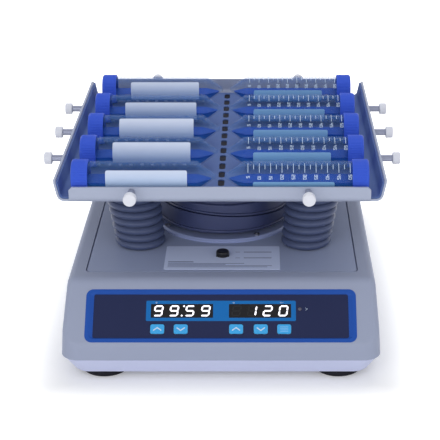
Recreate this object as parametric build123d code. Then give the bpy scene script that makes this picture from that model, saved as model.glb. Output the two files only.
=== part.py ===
from build123d import *
import math
import os

# Tube rotator: a bench instrument that waves a tray of capped sample tubes.
# Millimetres, +Z up, front towards -Y. The origin is on the bench, under the middle of the base.

# ---------------------------------------------------------------- fits and clearances
RUNNING_FIT = 0.05        # radial gap of a turning or sliding fit
PRESS_GAP = 0.02          # radial gap drawn at a pressed or screwed seat
BODY_GAP = 0.4            # least gap between pieces that move against each other

# ---------------------------------------------------------------- base
BASE_WIDTH = 262.0
BASE_DEPTH = 359.0
DECK_Z = 75.0             # height of the flat deck
WALL_DRAFT = 3.4          # how far each wall leans in between its foot and the deck
CORNER_RADIUS = 15.0
HOUSING_WALL = 3.5
HOUSING_TOP = 5.0         # thickness of the deck
EDGE_ROUND = 6.0          # along the deck and down the sides of the slope
CREASE_ROUND = 12.0       # where the deck turns down into the slope
CREASE_SETBACK = 42.5     # from the foot of the front wall to where the slope meets the deck
SLOPE_ANGLE = 43.9        # of the sloped front, from the horizontal
FOOT_HEIGHT = 6.2
FOOT_RADIUS = 20.0
FOOT_INSET_X = 34.0
FOOT_INSET_Y = 30.5
FOOT_BEVEL = 1.2
FOOT_SCREW_RADIUS = 2.0
FOOT_SCREW_HEAD = 4.0
FOOT_SCREW_BITE = 4.0     # how far the screw stands up inside the pan
FOOT_SCREW_HEAD_THICK = 2.2
FOOT_POCKET_RADIUS = 5.5
FOOT_POCKET_DEPTH = 3.0
PAN_HEIGHT = 14.8
PAN_WALL = 2.5
PAN_TAPER = 8.0           # how far each side of the pan leans in towards its floor
PAN_STEP = 1.0            # the pan's rim stands this far inside the housing wall

CREASE_Y = CREASE_SETBACK - BASE_DEPTH / 2
FOOT_X = BASE_WIDTH / 2 - FOOT_INSET_X
FOOT_Y = BASE_DEPTH / 2 - FOOT_INSET_Y
PAN_FLOOR_Z = FOOT_HEIGHT + PAN_WALL
HOUSING_Z = FOOT_HEIGHT + PAN_HEIGHT

# ---------------------------------------------------------------- deck
DECK_PLATE_SIDE = 18.0    # from the plate's edges to the foot of the walls
DECK_PLATE_BACK = 29.5
DECK_PLATE_AHEAD = 14.0   # from the plate's edge to the slope
DECK_PLATE_THICK = 2.4
DECK_GROOVE = 1.2         # gap left round the deck plate
DECK_PLATE_CORNER = 4.0
DECK_HOLE_RADIUS = 48.0
KNOB_Y = -90.0
KNOB_RADIUS = 5.6
KNOB_HEIGHT = 5.0         # stands above the deck when it is not pushed
KNOB_TRAVEL = 4.0
KNOB_PIN_RADIUS = 2.5
KNOB_EDGE = 1.4
KNOB_BUSH_WALL = 1.6
KNOB_BUSH_LENGTH = 8.0    # from the deck down

# ---------------------------------------------------------------- front panel, on the slope
PANEL_WIDTH = 221.8
PANEL_HEIGHT = 46.2
PANEL_DROP = 32.8         # from the crease down to the panel's middle line
PANEL_RECESS = 2.2
PANEL_CORNER = 6.0
BEZEL_FRAME = 6.4         # width of the bezel's band at the two ends
BEZEL_BAND = 4.1          # and along the top and bottom
BEZEL_THICK = 2.4         # a little proud of the slope
BEZEL_FACE = 3.0          # flat outer part of the band, before it slopes in to the film
BEZEL_LIP = 1.2           # height of the sloped part's inner edge
OVERLAY_THICK = 1.0
OVERLAY_CORNER = 1.5
WINDOW_WIDTH = 51.0
WINDOW_HEIGHT = 12.0
WINDOW_X = 32.0
WINDOW_DROP = 28.2
WINDOW_CORNER = 0.5
WINDOW_RIM = 1.2          # the lens overlaps its opening by this much
KEY_WIDTH = 11.3
KEY_HEIGHT = 8.1
KEY_CORNER = 1.6
KEY_DROP = 44.1
KEY_XS = (-51.8, -32.7, 12.5, 32.6, 51.7)
KEY_TRAVEL = 0.5
KEY_PROUD = 0.5           # how far a key stands above the overlay
KEY_GAP = 0.35
KEY_STEM_RADIUS = 1.5
KEY_STEM_LENGTH = 5.0
KEY_FLOOR = KEY_TRAVEL + 0.1      # from the recess floor up to a key's underside
LED_X = 64.6
LED_DROP = 26.6
LED_STANDS = 0.3          # above the overlay
LED_RADIUS = 1.7
BOARD_THICK = 1.6
BOARD_BEHIND = 9.0        # from the panel's recess back to the board
BOARD_WIDTH = 196.0
BOARD_HEIGHT = 34.0
STANDOFF_RADIUS = 3.2
STANDOFF_X = 92.0
STANDOFF_DROP = 30.0
SWITCH_SIDE = 6.0

# ---------------------------------------------------------------- centre drive
POST_RADIUS = 11.0
POST_TOP_Z = 112.0
POST_FOOT_RADIUS = 30.0
POST_FOOT_THICK = 5.0
POST_FOOT_SCREWS = 4
POST_SCREW_CIRCLE = 24.0
POST_SCREW_RADIUS = 2.0
POST_SCREW_HEAD = 3.5
POST_SCREW_HEAD_THICK = 3.0
POST_SHOULDER = 3.0       # how far the shoulder under the lower bearing stands out
BEARING_RADIUS = 18.0
BEARING_WIDTH = 8.0
LOWER_BEARING_Z = 36.0
UPPER_BEARING_Z = 70.0
SHAFT_RADIUS = 24.0
SHAFT_BOTTOM_Z = 32.0
SHAFT_FLANGE_RADIUS = 36.0
SHAFT_FLANGE_THICK = 3.0
FLANGE_RADIUS = 62.5      # clamp flange on the deck
FLANGE_BORE = 44.0
FLANGE_THICK = 3.0
FLANGE_SCREW_CIRCLE = 58.5
FLANGE_SCREWS = 4
FLANGE_SCREW_START = 30.0 # angle of the first screw
FLANGE_SCREW_RADIUS = 1.5
FLANGE_SCREW_HEAD = 2.6
FLANGE_SCREW_HEAD_THICK = 1.4
FLANGE_SCREW_SLOT = 0.8
FLANGE_BEVEL = 1.5
LOWER_DISC_RADIUS = 58.5
LOWER_DISC_Z = 83.5
UPPER_DISC_RADIUS = 55.5
UPPER_DISC_STEP_Z = 108.0 # where the upper disc steps in to its crown
CROWN_RADIUS = 53.0
CROWN_EDGE = 1.2
UPPER_DISC_TOP_Z = 121.0
DISC_BEAD = 1.6           # the rounded lip at the lower edge of each disc
DISC_BEAD_HEIGHT = 2.2
DISC_BEAD_ROUND = 0.7
WEDGE_ANGLE = 5.0         # the split between the discs leans by this much
WEDGE_TURN = 40.0         # from the front towards the left, where the split is highest
WEDGE_Z = 94.4           # height of the split on the drum's axis
WEDGE_GAP = 0.3
LOWER_DISC_BORE = 26.0
SPIGOT_RADIUS = 38.0
SPIGOT_WALL = 4.0
SPIGOT_HEIGHT = 8.0
UPPER_DISC_BORE = 30.0
RACE_OUTER = 50.0         # raised track on the upper disc
RACE_INNER = 42.0
RACE_THICK = 4.0

# ---------------------------------------------------------------- belt drive
BELT_Z = 54.0
BELT_WIDTH = 6.0
BELT_THICK = 1.5
BELT_SEAT = 0.3           # from the pulleys' faces to the belt
PULLEY_WIDTH = 8.0
DRIVEN_PULLEY_RADIUS = 96.0
MOTOR_PULLEY_RADIUS = 12.0
PULLEY_RIM = 12.0
PULLEY_HUB_RADIUS = 34.0
PULLEY_SPOKES = 6
SPOKE_WIDTH = 12.0
LOCK_HOLES = 12
LOCK_HOLE_RADIUS = 3.3
PULLEY_LIP = 1.2
MOTOR_SETBACK = 49.5      # from the foot of the rear wall
MOTOR_RADIUS = 28.0
MOTOR_HEIGHT = 30.0
MOTOR_EDGE = 3.0
MOTOR_SHAFT_RADIUS = 2.5
BRACKET_Z = 47.5          # underside of the motor bracket's top plate
BRACKET_THICK = 2.0
BRACKET_WIDTH = 84.0
BRACKET_DEPTH = 62.0
BRACKET_FOOT = 12.0

# ---------------------------------------------------------------- mains parts
INLET_X = -78.0
INLET_Z = 48.0
INLET_WIDTH = 28.0
INLET_HEIGHT = 21.0
INLET_DEPTH = 22.0
INLET_FLANGE = 4.0
INLET_FLANGE_THICK = 2.0
INLET_WALL = 2.2
INLET_SOCKET_DEPTH = 16.0
INLET_PIN_LENGTH = 10.0
INLET_PINS = ((-7.0, 2.0), (0.0, -3.0), (7.0, 2.0))
INLET_PIN_SIZE = (2.0, 4.0)
INLET_CORNER = 3.0
INLET_SLANT = 4.0         # clipped lower corners of the socket
ROCKER_X = -36.0
ROCKER_WIDTH = 13.0
ROCKER_HEIGHT = 19.0
ROCKER_TILT = 8.0
ROCKER_PIN_RADIUS = 1.5
ROCKER_THICK = 4.0        # of the paddle at its two ends
ROCKER_NECK = 2.6         # half width of the paddle's root
ROCKER_ROOT = 2.8         # how far the root reaches behind the pin
ROCKER_PIVOT_DEPTH = 7.0  # from the frame's face in to the pivot
FRAME_WALL = 3.0
ROCKER_SWING = 1.6        # room above and below the paddle for its swing
FRAME_DEPTH = 16.0
FRAME_RIM = 2.0           # how far the frame's flange overlaps the wall
FRAME_BACK = 2.0
SUPPLY_SIZE = (54.0, 62.0, 30.0)
SUPPLY_X = -72.0
SUPPLY_Y = -88.0
SUPPLY_EDGE = 3.0
SUPPLY_VENTS = 6
SUPPLY_VENT_PITCH = 8.0
SUPPLY_VENT_WIDTH = 3.0
SUPPLY_VENT_DEPTH = 1.5
SUPPLY_VENT_INSET = 8.0

# ---------------------------------------------------------------- tilting platform
PIVOT_Z = 130.0
CROSS_SIDE = 13.0
CROSS_PIN_RADIUS = 3.5
CROSS_REACH = 19.6        # from the pivot to the end of each pin
EAR_INNER = 13.0
EAR_OUTER = 20.0
EAR_RADIUS = 7.0
YOKE_RADIUS = 20.0
YOKE_THICK = 5.0
HUB_RADIUS = 37.0
HUB_THICK = 5.5
HUB_SCREW_CIRCLE = 30.0
HUB_SCREWS = 4
HUB_SCREW_RADIUS = 2.0
HUB_SCREW_HEAD = 3.6
HUB_SCREW_HEAD_THICK = 2.2

# ---------------------------------------------------------------- sample tubes
TUBE_ROWS = 5
TUBE_MIDDLE_Y = -12.0     # the middle row stands this far in front of the tray's middle
ROW_ROOM = 2.02           # from the first row's caps to the front flange
CAP_ROOM = 10.7           # from a cap's end to the foot of the side flange
TUBE_TIP_X = 3.3
TUBE_RADIUS = 12.25
TUBE_WALL = 1.2
TUBE_LENGTH = 116.0       # from the tip to the cap's closed end
TUBE_TIP_RADIUS = 3.2
CONE_LENGTH = 15.5
CAP_RADIUS = 13.8
CAP_LENGTH = 13.5
CAP_WALL = 1.9
CAP_GROOVES = 30
CAP_GROOVE_RADIUS = 0.55
CAP_GROOVE_ENDS = 2.0     # plain band at each end of the grooves
SEAT_GAP = 0.3

# ---------------------------------------------------------------- tray
TRAY_BOTTOM_Z = 147.0
SHEET = 1.8
TRAY_HALF_WIDTH = TUBE_TIP_X + TUBE_LENGTH + CAP_ROOM
TRAY_HALF_DEPTH = 151.5
FRONT_FLANGE_HEIGHT = 13.8
REAR_FLANGE_HEIGHT = 15.3
SIDE_FLANGE_HEIGHT = 17.0
SIDE_FLARE = 12.0         # lean of the side flanges outwards
BEND_RADIUS = 6.0
SIDE_FLANGE_FRONT = TRAY_HALF_DEPTH - 5.5
SIDE_FLANGE_REAR = TRAY_HALF_DEPTH - 12.5
END_FLANGE_HALF = TRAY_HALF_WIDTH - 9.5
FLANGE_CORNER = 2.5
MAT_THICK = 1.2
MAT_MARGIN = 1.0          # from the mat's edge to the start of the bend
MAT_CORNER = 6.0
LINING_DROP = 1.8         # the mat's upturned sides end this far below the flange tops
SLOT_WIDTH = 5.4
SLOT_LENGTH = 15.5
SLOT_COUNT = 14
SLOT_END = 19.42          # from the last slot's middle to the end of the tray
SLOT_PITCH = 2 * (TRAY_HALF_DEPTH - SLOT_END) / (SLOT_COUNT - 1)
PEG_RADIUS = 2.9
PEG_STUD_RADIUS = 1.9
PEG_REACH = 12.5
PEG_HEAD_RADIUS = 5.2
PEG_HEAD_LENGTH = 6.5
PEG_HEAD_EDGE = 0.9
PEG_Z = 156.8
PEG_END_X = 70.5
PEG_SIDE_YS = (-70.0, 0.0, 70.0)

# ---------------------------------------------------------------- bellows
BELLOWS_X = 72.1
BELLOWS_Y = 60.6
BELLOWS_LEAN = 8.6        # how far the top stands further out than the bottom
BELLOWS_RADIUS = 21.6     # of the lowest crest
BELLOWS_GROWTH = 2.8      # the top crest is this much larger
BELLOWS_DEPTH = 3.4       # from a crest in to its grooves
BELLOWS_FOLDS = 10
BELLOWS_CUFF = 3.0
BELLOWS_GAP = 0.3

TRAY_FLOOR_Z = TRAY_BOTTOM_Z + SHEET
MAT_TOP_Z = TRAY_FLOOR_Z + MAT_THICK
TUBE_AXIS_Z = MAT_TOP_Z + SEAT_GAP + CAP_RADIUS
TUBE_PITCH = 2 * (TRAY_HALF_DEPTH - SHEET - ROW_ROOM - CAP_RADIUS + TUBE_MIDDLE_Y) / (TUBE_ROWS - 1)
DECK_PLATE_Z = DECK_Z - DECK_PLATE_THICK
DECK_PLATE_HALF = BASE_WIDTH / 2 - DECK_PLATE_SIDE
DECK_PLATE_FRONT = CREASE_Y + DECK_PLATE_AHEAD
DECK_PLATE_REAR = BASE_DEPTH / 2 - DECK_PLATE_BACK
MOTOR_Y = BASE_DEPTH / 2 - MOTOR_SETBACK
KNOB_BUSH_RADIUS = KNOB_RADIUS + RUNNING_FIT + KNOB_BUSH_WALL
draft = math.atan2(WALL_DRAFT, DECK_Z - HOUSING_Z)
WALL_FACE_Y = BASE_DEPTH / 2 - (INLET_Z - HOUSING_Z) * math.tan(draft)
REAR_PLANE = Plane(
    origin=(0, WALL_FACE_Y, INLET_Z), x_dir=(1, 0, 0), z_dir=(0, math.cos(draft), math.sin(draft))
)

ANCHOR_BOTTOM = (Align.CENTER, Align.CENTER, Align.MIN)
ANCHOR_TOP = (Align.CENTER, Align.CENTER, Align.MAX)

slope = math.radians(SLOPE_ANGLE)
SLOPE_PLANE = Plane(
    origin=(0, CREASE_Y, DECK_Z), x_dir=(1, 0, 0), z_dir=(0, -math.sin(slope), math.cos(slope))
)
RECESS_PLANE = SLOPE_PLANE.offset(-PANEL_RECESS)
wedge = math.radians(WEDGE_ANGLE)
turn = math.radians(WEDGE_TURN)
WEDGE_PLANE = Plane(
    origin=(0, 0, WEDGE_Z), x_dir=(math.cos(turn), -math.sin(turn), 0),
    z_dir=(math.sin(wedge) * math.sin(turn), math.sin(wedge) * math.cos(turn), math.cos(wedge)),
)


# ---------------------------------------------------------------- helpers
def save(shape, name):
    """Write one node; a list of solids becomes one compound."""
    solids = shape if isinstance(shape, list) else shape.solids()
    node = solids[0] if len(solids) == 1 else Compound(children=[Solid(s.wrapped) for s in solids])
    node.label = name
    export_step(node, f"parts/{name}.step")


def disc(radius, low, high, x=0.0, y=0.0):
    """Upright cylinder between two heights."""
    return Pos(x, y, low) * Cylinder(radius, high - low, align=ANCHOR_BOTTOM)


def ring(outer, inner, low, high, x=0.0, y=0.0):
    """Upright ring between two heights."""
    return disc(outer, low, high, x, y) - disc(inner, low - 1, high + 1, x, y)


def block(width, depth, low, high, x=0.0, y=0.0):
    """Upright box between two heights."""
    return Pos(x, y, low) * Box(width, depth, high - low, align=ANCHOR_BOTTOM)


def drafted(low_size, high_size, low, high, radius):
    """Rounded block whose plan changes evenly from one size to another."""
    foot = Plane.XY.offset(low) * RectangleRounded(*low_size, radius)
    head = Plane.XY.offset(high) * RectangleRounded(*high_size, radius)
    return loft([foot.faces()[0], head.faces()[0]])


def on_circle(count, radius, start=0.0):
    """Places round the Z axis, the first at an angle from +X."""
    for i in range(count):
        angle = math.radians(start + i * 360 / count)
        yield radius * math.cos(angle), radius * math.sin(angle)


def on_rear(x, height):
    """Place on the rear wall, at a height above its outer face."""
    return REAR_PLANE.offset(height).location * Pos(x, 0)


def panel_plate(width, height, drop, thick, corner, plane, x=0.0):
    """Plate that lies on the sloped front, a drop below the crease."""
    outline = Pos(x, -drop) * RectangleRounded(width, height, corner)
    return extrude(plane * outline, thick)


# ---------------------------------------------------------------- base pieces
def housing_form(inset):
    """Outside of the top shell, moved inwards by inset on the walls and slope."""
    top = DECK_Z if inset == 0 else DECK_Z - HOUSING_TOP
    span = (top - HOUSING_Z) / (DECK_Z - HOUSING_Z)
    low = (BASE_WIDTH - 2 * inset, BASE_DEPTH - 2 * inset)
    high = (low[0] - 2 * WALL_DRAFT * span, low[1] - 2 * WALL_DRAFT * span)
    form = drafted(low, high, HOUSING_Z, top, CORNER_RADIUS - inset)
    return form - SLOPE_PLANE.offset(-inset) * Box(
        2 * BASE_WIDTH, BASE_DEPTH, DECK_Z, align=ANCHOR_BOTTOM
    )


def bolt_places():
    """Feet screws, one at each corner of the base."""
    return [(x, y) for x in (-FOOT_X, FOOT_X) for y in (-FOOT_Y, FOOT_Y)]


def bellows_places():
    return [(x, y) for x in (-BELLOWS_X, BELLOWS_X) for y in (-BELLOWS_Y, BELLOWS_Y)]


def make_housing():
    shell = housing_form(0)
    crease = shell.edges().filter_by(Axis.X).sort_by(lambda e: abs(e.center().Y - CREASE_Y))[0]
    shell = fillet(crease, CREASE_ROUND)
    rims = shell.edges().filter_by(lambda e: e.center().Z > HOUSING_Z + 1)
    shell = fillet(rims, EDGE_ROUND)
    shell -= housing_form(HOUSING_WALL)
    # pocket for the deck plate, with the open groove round it
    plate_mid = (DECK_PLATE_FRONT + DECK_PLATE_REAR) / 2
    plate_len = DECK_PLATE_REAR - DECK_PLATE_FRONT
    pocket = RectangleRounded(
        2 * (DECK_PLATE_HALF + DECK_GROOVE), plate_len + 2 * DECK_GROOVE, DECK_PLATE_CORNER + DECK_GROOVE
    )
    shell -= extrude(Plane.XY.offset(DECK_PLATE_Z) * Pos(0, plate_mid) * pocket, DECK_PLATE_THICK + 1)
    shell -= disc(DECK_HOLE_RADIUS, DECK_Z - HOUSING_TOP - 1, DECK_Z)
    shell -= disc(KNOB_BUSH_RADIUS, DECK_Z - HOUSING_TOP - 1, DECK_Z, 0, KNOB_Y)
    # recess of the front panel and what passes through it
    shell -= panel_plate(PANEL_WIDTH, PANEL_HEIGHT, PANEL_DROP, PANEL_RECESS + 5, PANEL_CORNER, RECESS_PLANE)
    deep = RECESS_PLANE.offset(-HOUSING_WALL)
    for x in (-WINDOW_X, WINDOW_X):
        opening = (WINDOW_WIDTH - 2 * WINDOW_RIM, WINDOW_HEIGHT - 2 * WINDOW_RIM)
        shell -= panel_plate(*opening, WINDOW_DROP, 2 * HOUSING_WALL, WINDOW_CORNER, deep, x)
    for x in KEY_XS:
        shell -= deep * Pos(x, -KEY_DROP) * Cylinder(
            KEY_STEM_RADIUS + KEY_GAP, 2 * HOUSING_WALL, align=ANCHOR_BOTTOM
        )
    shell -= deep * Pos(LED_X, -LED_DROP) * Cylinder(LED_RADIUS - 0.5, 2 * HOUSING_WALL, align=ANCHOR_BOTTOM)
    # standoffs that carry the control board
    board_top = RECESS_PLANE.offset(-BOARD_BEHIND)
    length = BOARD_BEHIND - (HOUSING_WALL - PANEL_RECESS) + 0.5
    for x in (-STANDOFF_X, STANDOFF_X):
        shell += board_top * Pos(x, -STANDOFF_DROP) * Cylinder(STANDOFF_RADIUS, length, align=ANCHOR_BOTTOM)
    # openings of the rear wall
    shell -= REAR_PLANE * Pos(INLET_X, 0) * Box(
        INLET_WIDTH + 2 * PRESS_GAP, INLET_HEIGHT + 2 * PRESS_GAP, 4 * HOUSING_WALL
    )
    frame = (ROCKER_WIDTH + 2 * FRAME_WALL + 2 * PRESS_GAP, ROCKER_HEIGHT + 2 * FRAME_WALL + 2 * PRESS_GAP)
    shell -= REAR_PLANE * Pos(ROCKER_X, 0) * Box(*frame, 4 * HOUSING_WALL)
    return shell


def make_pan():
    rim = (BASE_WIDTH - 2 * PAN_STEP, BASE_DEPTH - 2 * PAN_STEP)
    floor = (rim[0] - 2 * PAN_TAPER, rim[1] - 2 * PAN_TAPER)
    share = PAN_WALL / PAN_HEIGHT
    inner_low = tuple(f + (r - f) * share - 2 * PAN_WALL for r, f in zip(rim, floor))
    inner_high = tuple(r - 2 * PAN_WALL for r in rim)
    pan = drafted(floor, rim, FOOT_HEIGHT, HOUSING_Z, CORNER_RADIUS - PAN_STEP)
    pan -= drafted(inner_low, inner_high, PAN_FLOOR_Z, HOUSING_Z, CORNER_RADIUS - PAN_STEP - PAN_WALL)
    for x, y in bolt_places():
        pan -= disc(FOOT_SCREW_RADIUS + PRESS_GAP, FOOT_HEIGHT - 1, PAN_FLOOR_Z + 1, x, y)
    return pan


def make_feet():
    half = FOOT_RADIUS
    profile = make_face(
        Polyline(
            (0, FOOT_POCKET_DEPTH), (FOOT_POCKET_RADIUS, FOOT_POCKET_DEPTH), (FOOT_POCKET_RADIUS, 0),
            (half - FOOT_BEVEL, 0), (half - FOOT_BEVEL / 3, FOOT_BEVEL * 2 / 3),
            (half, FOOT_HEIGHT - FOOT_BEVEL), (half - FOOT_BEVEL, FOOT_HEIGHT), (0, FOOT_HEIGHT), close=True,
        )
    )
    foot = revolve(Plane.XZ * profile, Axis.Z)
    foot -= disc(FOOT_SCREW_RADIUS + PRESS_GAP, 0, FOOT_HEIGHT + 1)
    return [Pos(x, y, 0) * foot for x, y in bolt_places()]


def make_base_screws():
    """Foot screws, flange screws and the screws of the centre post."""
    screws = []
    for x, y in bolt_places():
        head_top = FOOT_POCKET_DEPTH
        screws.append(
            disc(FOOT_SCREW_HEAD, head_top - FOOT_SCREW_HEAD_THICK, head_top, x, y)
            + disc(FOOT_SCREW_RADIUS, head_top, PAN_FLOOR_Z + FOOT_SCREW_BITE, x, y)
        )
    for x, y in on_circle(FLANGE_SCREWS, FLANGE_SCREW_CIRCLE, FLANGE_SCREW_START):
        top = DECK_Z + FLANGE_THICK
        high = top + FLANGE_SCREW_HEAD_THICK
        screw = disc(FLANGE_SCREW_HEAD, top, high, x, y) + disc(FLANGE_SCREW_RADIUS, DECK_Z, top, x, y)
        slot_length = 5 * FLANGE_SCREW_SLOT
        screws.append(screw - block(FLANGE_SCREW_SLOT, slot_length, (top + high) / 2, high + 1, x, y))
    for x, y in on_circle(POST_FOOT_SCREWS, POST_SCREW_CIRCLE, 45):
        top = PAN_FLOOR_Z + POST_FOOT_THICK
        head = disc(POST_SCREW_HEAD, top, top + POST_SCREW_HEAD_THICK, x, y)
        screws.append(head + disc(POST_SCREW_RADIUS, PAN_FLOOR_Z, top, x, y))
    return screws


def make_deck_plate():
    middle = (DECK_PLATE_FRONT + DECK_PLATE_REAR) / 2
    outline = Pos(0, middle) * RectangleRounded(
        2 * DECK_PLATE_HALF, DECK_PLATE_REAR - DECK_PLATE_FRONT, DECK_PLATE_CORNER
    )
    plate = extrude(Plane.XY.offset(DECK_PLATE_Z) * outline, DECK_PLATE_THICK)
    plate -= disc(DECK_HOLE_RADIUS, DECK_PLATE_Z - 1, DECK_Z + 1)
    plate -= disc(KNOB_BUSH_RADIUS, DECK_PLATE_Z - 1, DECK_Z + 1, 0, KNOB_Y)
    return plate


def make_clamp_flange():
    high = DECK_Z + FLANGE_THICK
    profile = make_face(
        Polyline(
            (FLANGE_BORE, DECK_Z), (FLANGE_RADIUS, DECK_Z), (FLANGE_RADIUS, high - FLANGE_BEVEL),
            (FLANGE_RADIUS - FLANGE_BEVEL, high), (FLANGE_BORE, high), close=True,
        )
    )
    flange = revolve(Plane.XZ * profile, Axis.Z)
    for x, y in on_circle(FLANGE_SCREWS, FLANGE_SCREW_CIRCLE, FLANGE_SCREW_START):
        flange -= disc(FLANGE_SCREW_RADIUS + PRESS_GAP, DECK_Z - 1, high + 1, x, y)
    return flange


def make_knob_bush():
    """Guide of the lock pin, held in the deck."""
    low = DECK_Z - KNOB_BUSH_LENGTH
    bush = disc(KNOB_BUSH_RADIUS - PRESS_GAP, low, DECK_Z, 0, KNOB_Y)
    return bush - disc(KNOB_RADIUS + RUNNING_FIT, low - 1, DECK_Z + 1, 0, KNOB_Y)


def make_angle_knob():
    """Push knob with its lock pin, which drops into the driven pulley."""
    low = DECK_Z - KNOB_BUSH_LENGTH + KNOB_TRAVEL
    head = disc(KNOB_RADIUS, low, DECK_Z + KNOB_HEIGHT, 0, KNOB_Y)
    head = fillet(head.edges().group_by(Axis.Z)[-1], KNOB_EDGE)
    pin_low = BELT_Z + PULLEY_WIDTH / 2 + BODY_GAP
    return head, disc(KNOB_PIN_RADIUS, pin_low, low, 0, KNOB_Y)


def make_bezel():
    outer = RectangleRounded(PANEL_WIDTH - 2 * PRESS_GAP, PANEL_HEIGHT - 2 * PRESS_GAP, PANEL_CORNER)
    inner = RectangleRounded(
        PANEL_WIDTH - 2 * BEZEL_FRAME, PANEL_HEIGHT - 2 * BEZEL_BAND, OVERLAY_CORNER
    )
    ring_plate = extrude(RECESS_PLANE * Pos(0, -PANEL_DROP) * (outer - inner), BEZEL_THICK)
    face = RectangleRounded(
        PANEL_WIDTH - 2 * BEZEL_FACE, PANEL_HEIGHT - 2 * BEZEL_FACE, PANEL_CORNER - BEZEL_BAND / 2
    )
    high = RECESS_PLANE.offset(BEZEL_THICK + 0.01) * Pos(0, -PANEL_DROP) * face
    low = RECESS_PLANE.offset(BEZEL_LIP) * Pos(0, -PANEL_DROP) * inner
    return ring_plate - loft([low.faces()[0], high.faces()[0]])


def make_overlay():
    width = PANEL_WIDTH - 2 * BEZEL_FRAME - 2 * PRESS_GAP
    height = PANEL_HEIGHT - 2 * BEZEL_BAND - 2 * PRESS_GAP
    sheet = Pos(0, -PANEL_DROP) * RectangleRounded(width, height, OVERLAY_CORNER)
    for x in (-WINDOW_X, WINDOW_X):
        sheet -= Pos(x, -WINDOW_DROP) * Rectangle(WINDOW_WIDTH + 2 * PRESS_GAP, WINDOW_HEIGHT + 2 * PRESS_GAP)
    for x in KEY_XS:
        sheet -= Pos(x, -KEY_DROP) * RectangleRounded(
            KEY_WIDTH + 2 * KEY_GAP, KEY_HEIGHT + 2 * KEY_GAP, KEY_CORNER + KEY_GAP
        )
    sheet -= Pos(LED_X, -LED_DROP) * Circle(LED_RADIUS + PRESS_GAP)
    return extrude(RECESS_PLANE * sheet, OVERLAY_THICK)


def make_windows():
    """Two display lenses and the lens of the run light."""
    lenses = [
        panel_plate(WINDOW_WIDTH, WINDOW_HEIGHT, WINDOW_DROP, OVERLAY_THICK, 0.3, RECESS_PLANE, x)
        for x in (-WINDOW_X, WINDOW_X)
    ]
    lamp = Cylinder(LED_RADIUS, OVERLAY_THICK + LED_STANDS, align=ANCHOR_BOTTOM)
    lamp = RECESS_PLANE * Pos(LED_X, -LED_DROP) * lamp
    return lenses + [lamp]


def make_control_board():
    """Board behind the panel with two display modules, five switches and a chip."""
    face = RECESS_PLANE.offset(-BOARD_BEHIND)
    board = panel_plate(
        BOARD_WIDTH, BOARD_HEIGHT, PANEL_DROP, BOARD_THICK, 2.0, face.offset(-BOARD_THICK)
    )
    reach = BOARD_BEHIND - (HOUSING_WALL - PANEL_RECESS) - BODY_GAP
    pieces = [board]
    for x in (-WINDOW_X, WINDOW_X):
        pieces.append(
            panel_plate(WINDOW_WIDTH - 1, WINDOW_HEIGHT, WINDOW_DROP, reach, WINDOW_CORNER, face, x)
        )
    stem_end = KEY_STEM_LENGTH - KEY_FLOOR
    for x in KEY_XS:
        height = BOARD_BEHIND - stem_end - KEY_TRAVEL - 0.1
        pieces.append(face * Pos(x, -KEY_DROP) * Box(SWITCH_SIDE, SWITCH_SIDE, height, align=ANCHOR_BOTTOM))
    return pieces


def make_key(x):
    seat = RECESS_PLANE.offset(KEY_FLOOR)
    thick = OVERLAY_THICK - KEY_FLOOR + KEY_PROUD
    cap = panel_plate(KEY_WIDTH, KEY_HEIGHT, KEY_DROP, thick, KEY_CORNER, seat, x)
    return cap + seat * Pos(x, -KEY_DROP) * Cylinder(KEY_STEM_RADIUS, KEY_STEM_LENGTH, align=ANCHOR_TOP)


def make_post():
    """Fixed centre post with its foot flange, inside the turning shaft."""
    post = disc(POST_RADIUS, PAN_FLOOR_Z, POST_TOP_Z)
    post += disc(POST_FOOT_RADIUS, PAN_FLOOR_Z, PAN_FLOOR_Z + POST_FOOT_THICK)
    post += disc(POST_RADIUS + POST_SHOULDER, PAN_FLOOR_Z, LOWER_BEARING_Z)
    for x, y in on_circle(POST_FOOT_SCREWS, POST_SCREW_CIRCLE, 45):
        post -= disc(POST_SCREW_RADIUS + PRESS_GAP, PAN_FLOOR_Z - 1, PAN_FLOOR_Z + POST_FOOT_THICK + 1, x, y)
    return post


def make_bearings():
    inner = POST_RADIUS + PRESS_GAP
    outer = BEARING_RADIUS - RUNNING_FIT
    return [ring(outer, inner, z, z + BEARING_WIDTH) for z in (LOWER_BEARING_Z, UPPER_BEARING_Z)]


def yoke_ears(direction, reach_z, base_z):
    """Two ears with pin bores, either side of the pivot along X or Y."""
    ears = None
    for side in (-1, 1):
        middle = side * (EAR_INNER + EAR_OUTER) / 2
        width = EAR_OUTER - EAR_INNER
        length = abs(base_z - reach_z)
        low = min(base_z, reach_z)
        web = block(width, 2 * EAR_RADIUS, low, low + length, middle, 0)
        eye = Pos(middle, 0, reach_z) * Rot(0, 90, 0) * Cylinder(EAR_RADIUS, width)
        bore = Pos(middle, 0, reach_z) * Rot(0, 90, 0) * Cylinder(CROSS_PIN_RADIUS + RUNNING_FIT, 2 * width)
        ear = web + eye - bore
        ears = ear if ears is None else ears + ear
    return Rot(0, 0, 90) * ears if direction == "y" else ears


def make_post_yoke():
    plate = disc(YOKE_RADIUS, POST_TOP_Z, POST_TOP_Z + YOKE_THICK)
    return plate + yoke_ears("x", PIVOT_Z, POST_TOP_Z + YOKE_THICK)


def make_gimbal_cross():
    cross = Pos(0, 0, PIVOT_Z) * Box(CROSS_SIDE, CROSS_SIDE, CROSS_SIDE - 2)
    for turn in (Rot(0, 90, 0), Rot(90, 0, 0)):
        cross += Pos(0, 0, PIVOT_Z) * turn * Cylinder(CROSS_PIN_RADIUS, 2 * CROSS_REACH)
    return cross


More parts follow.
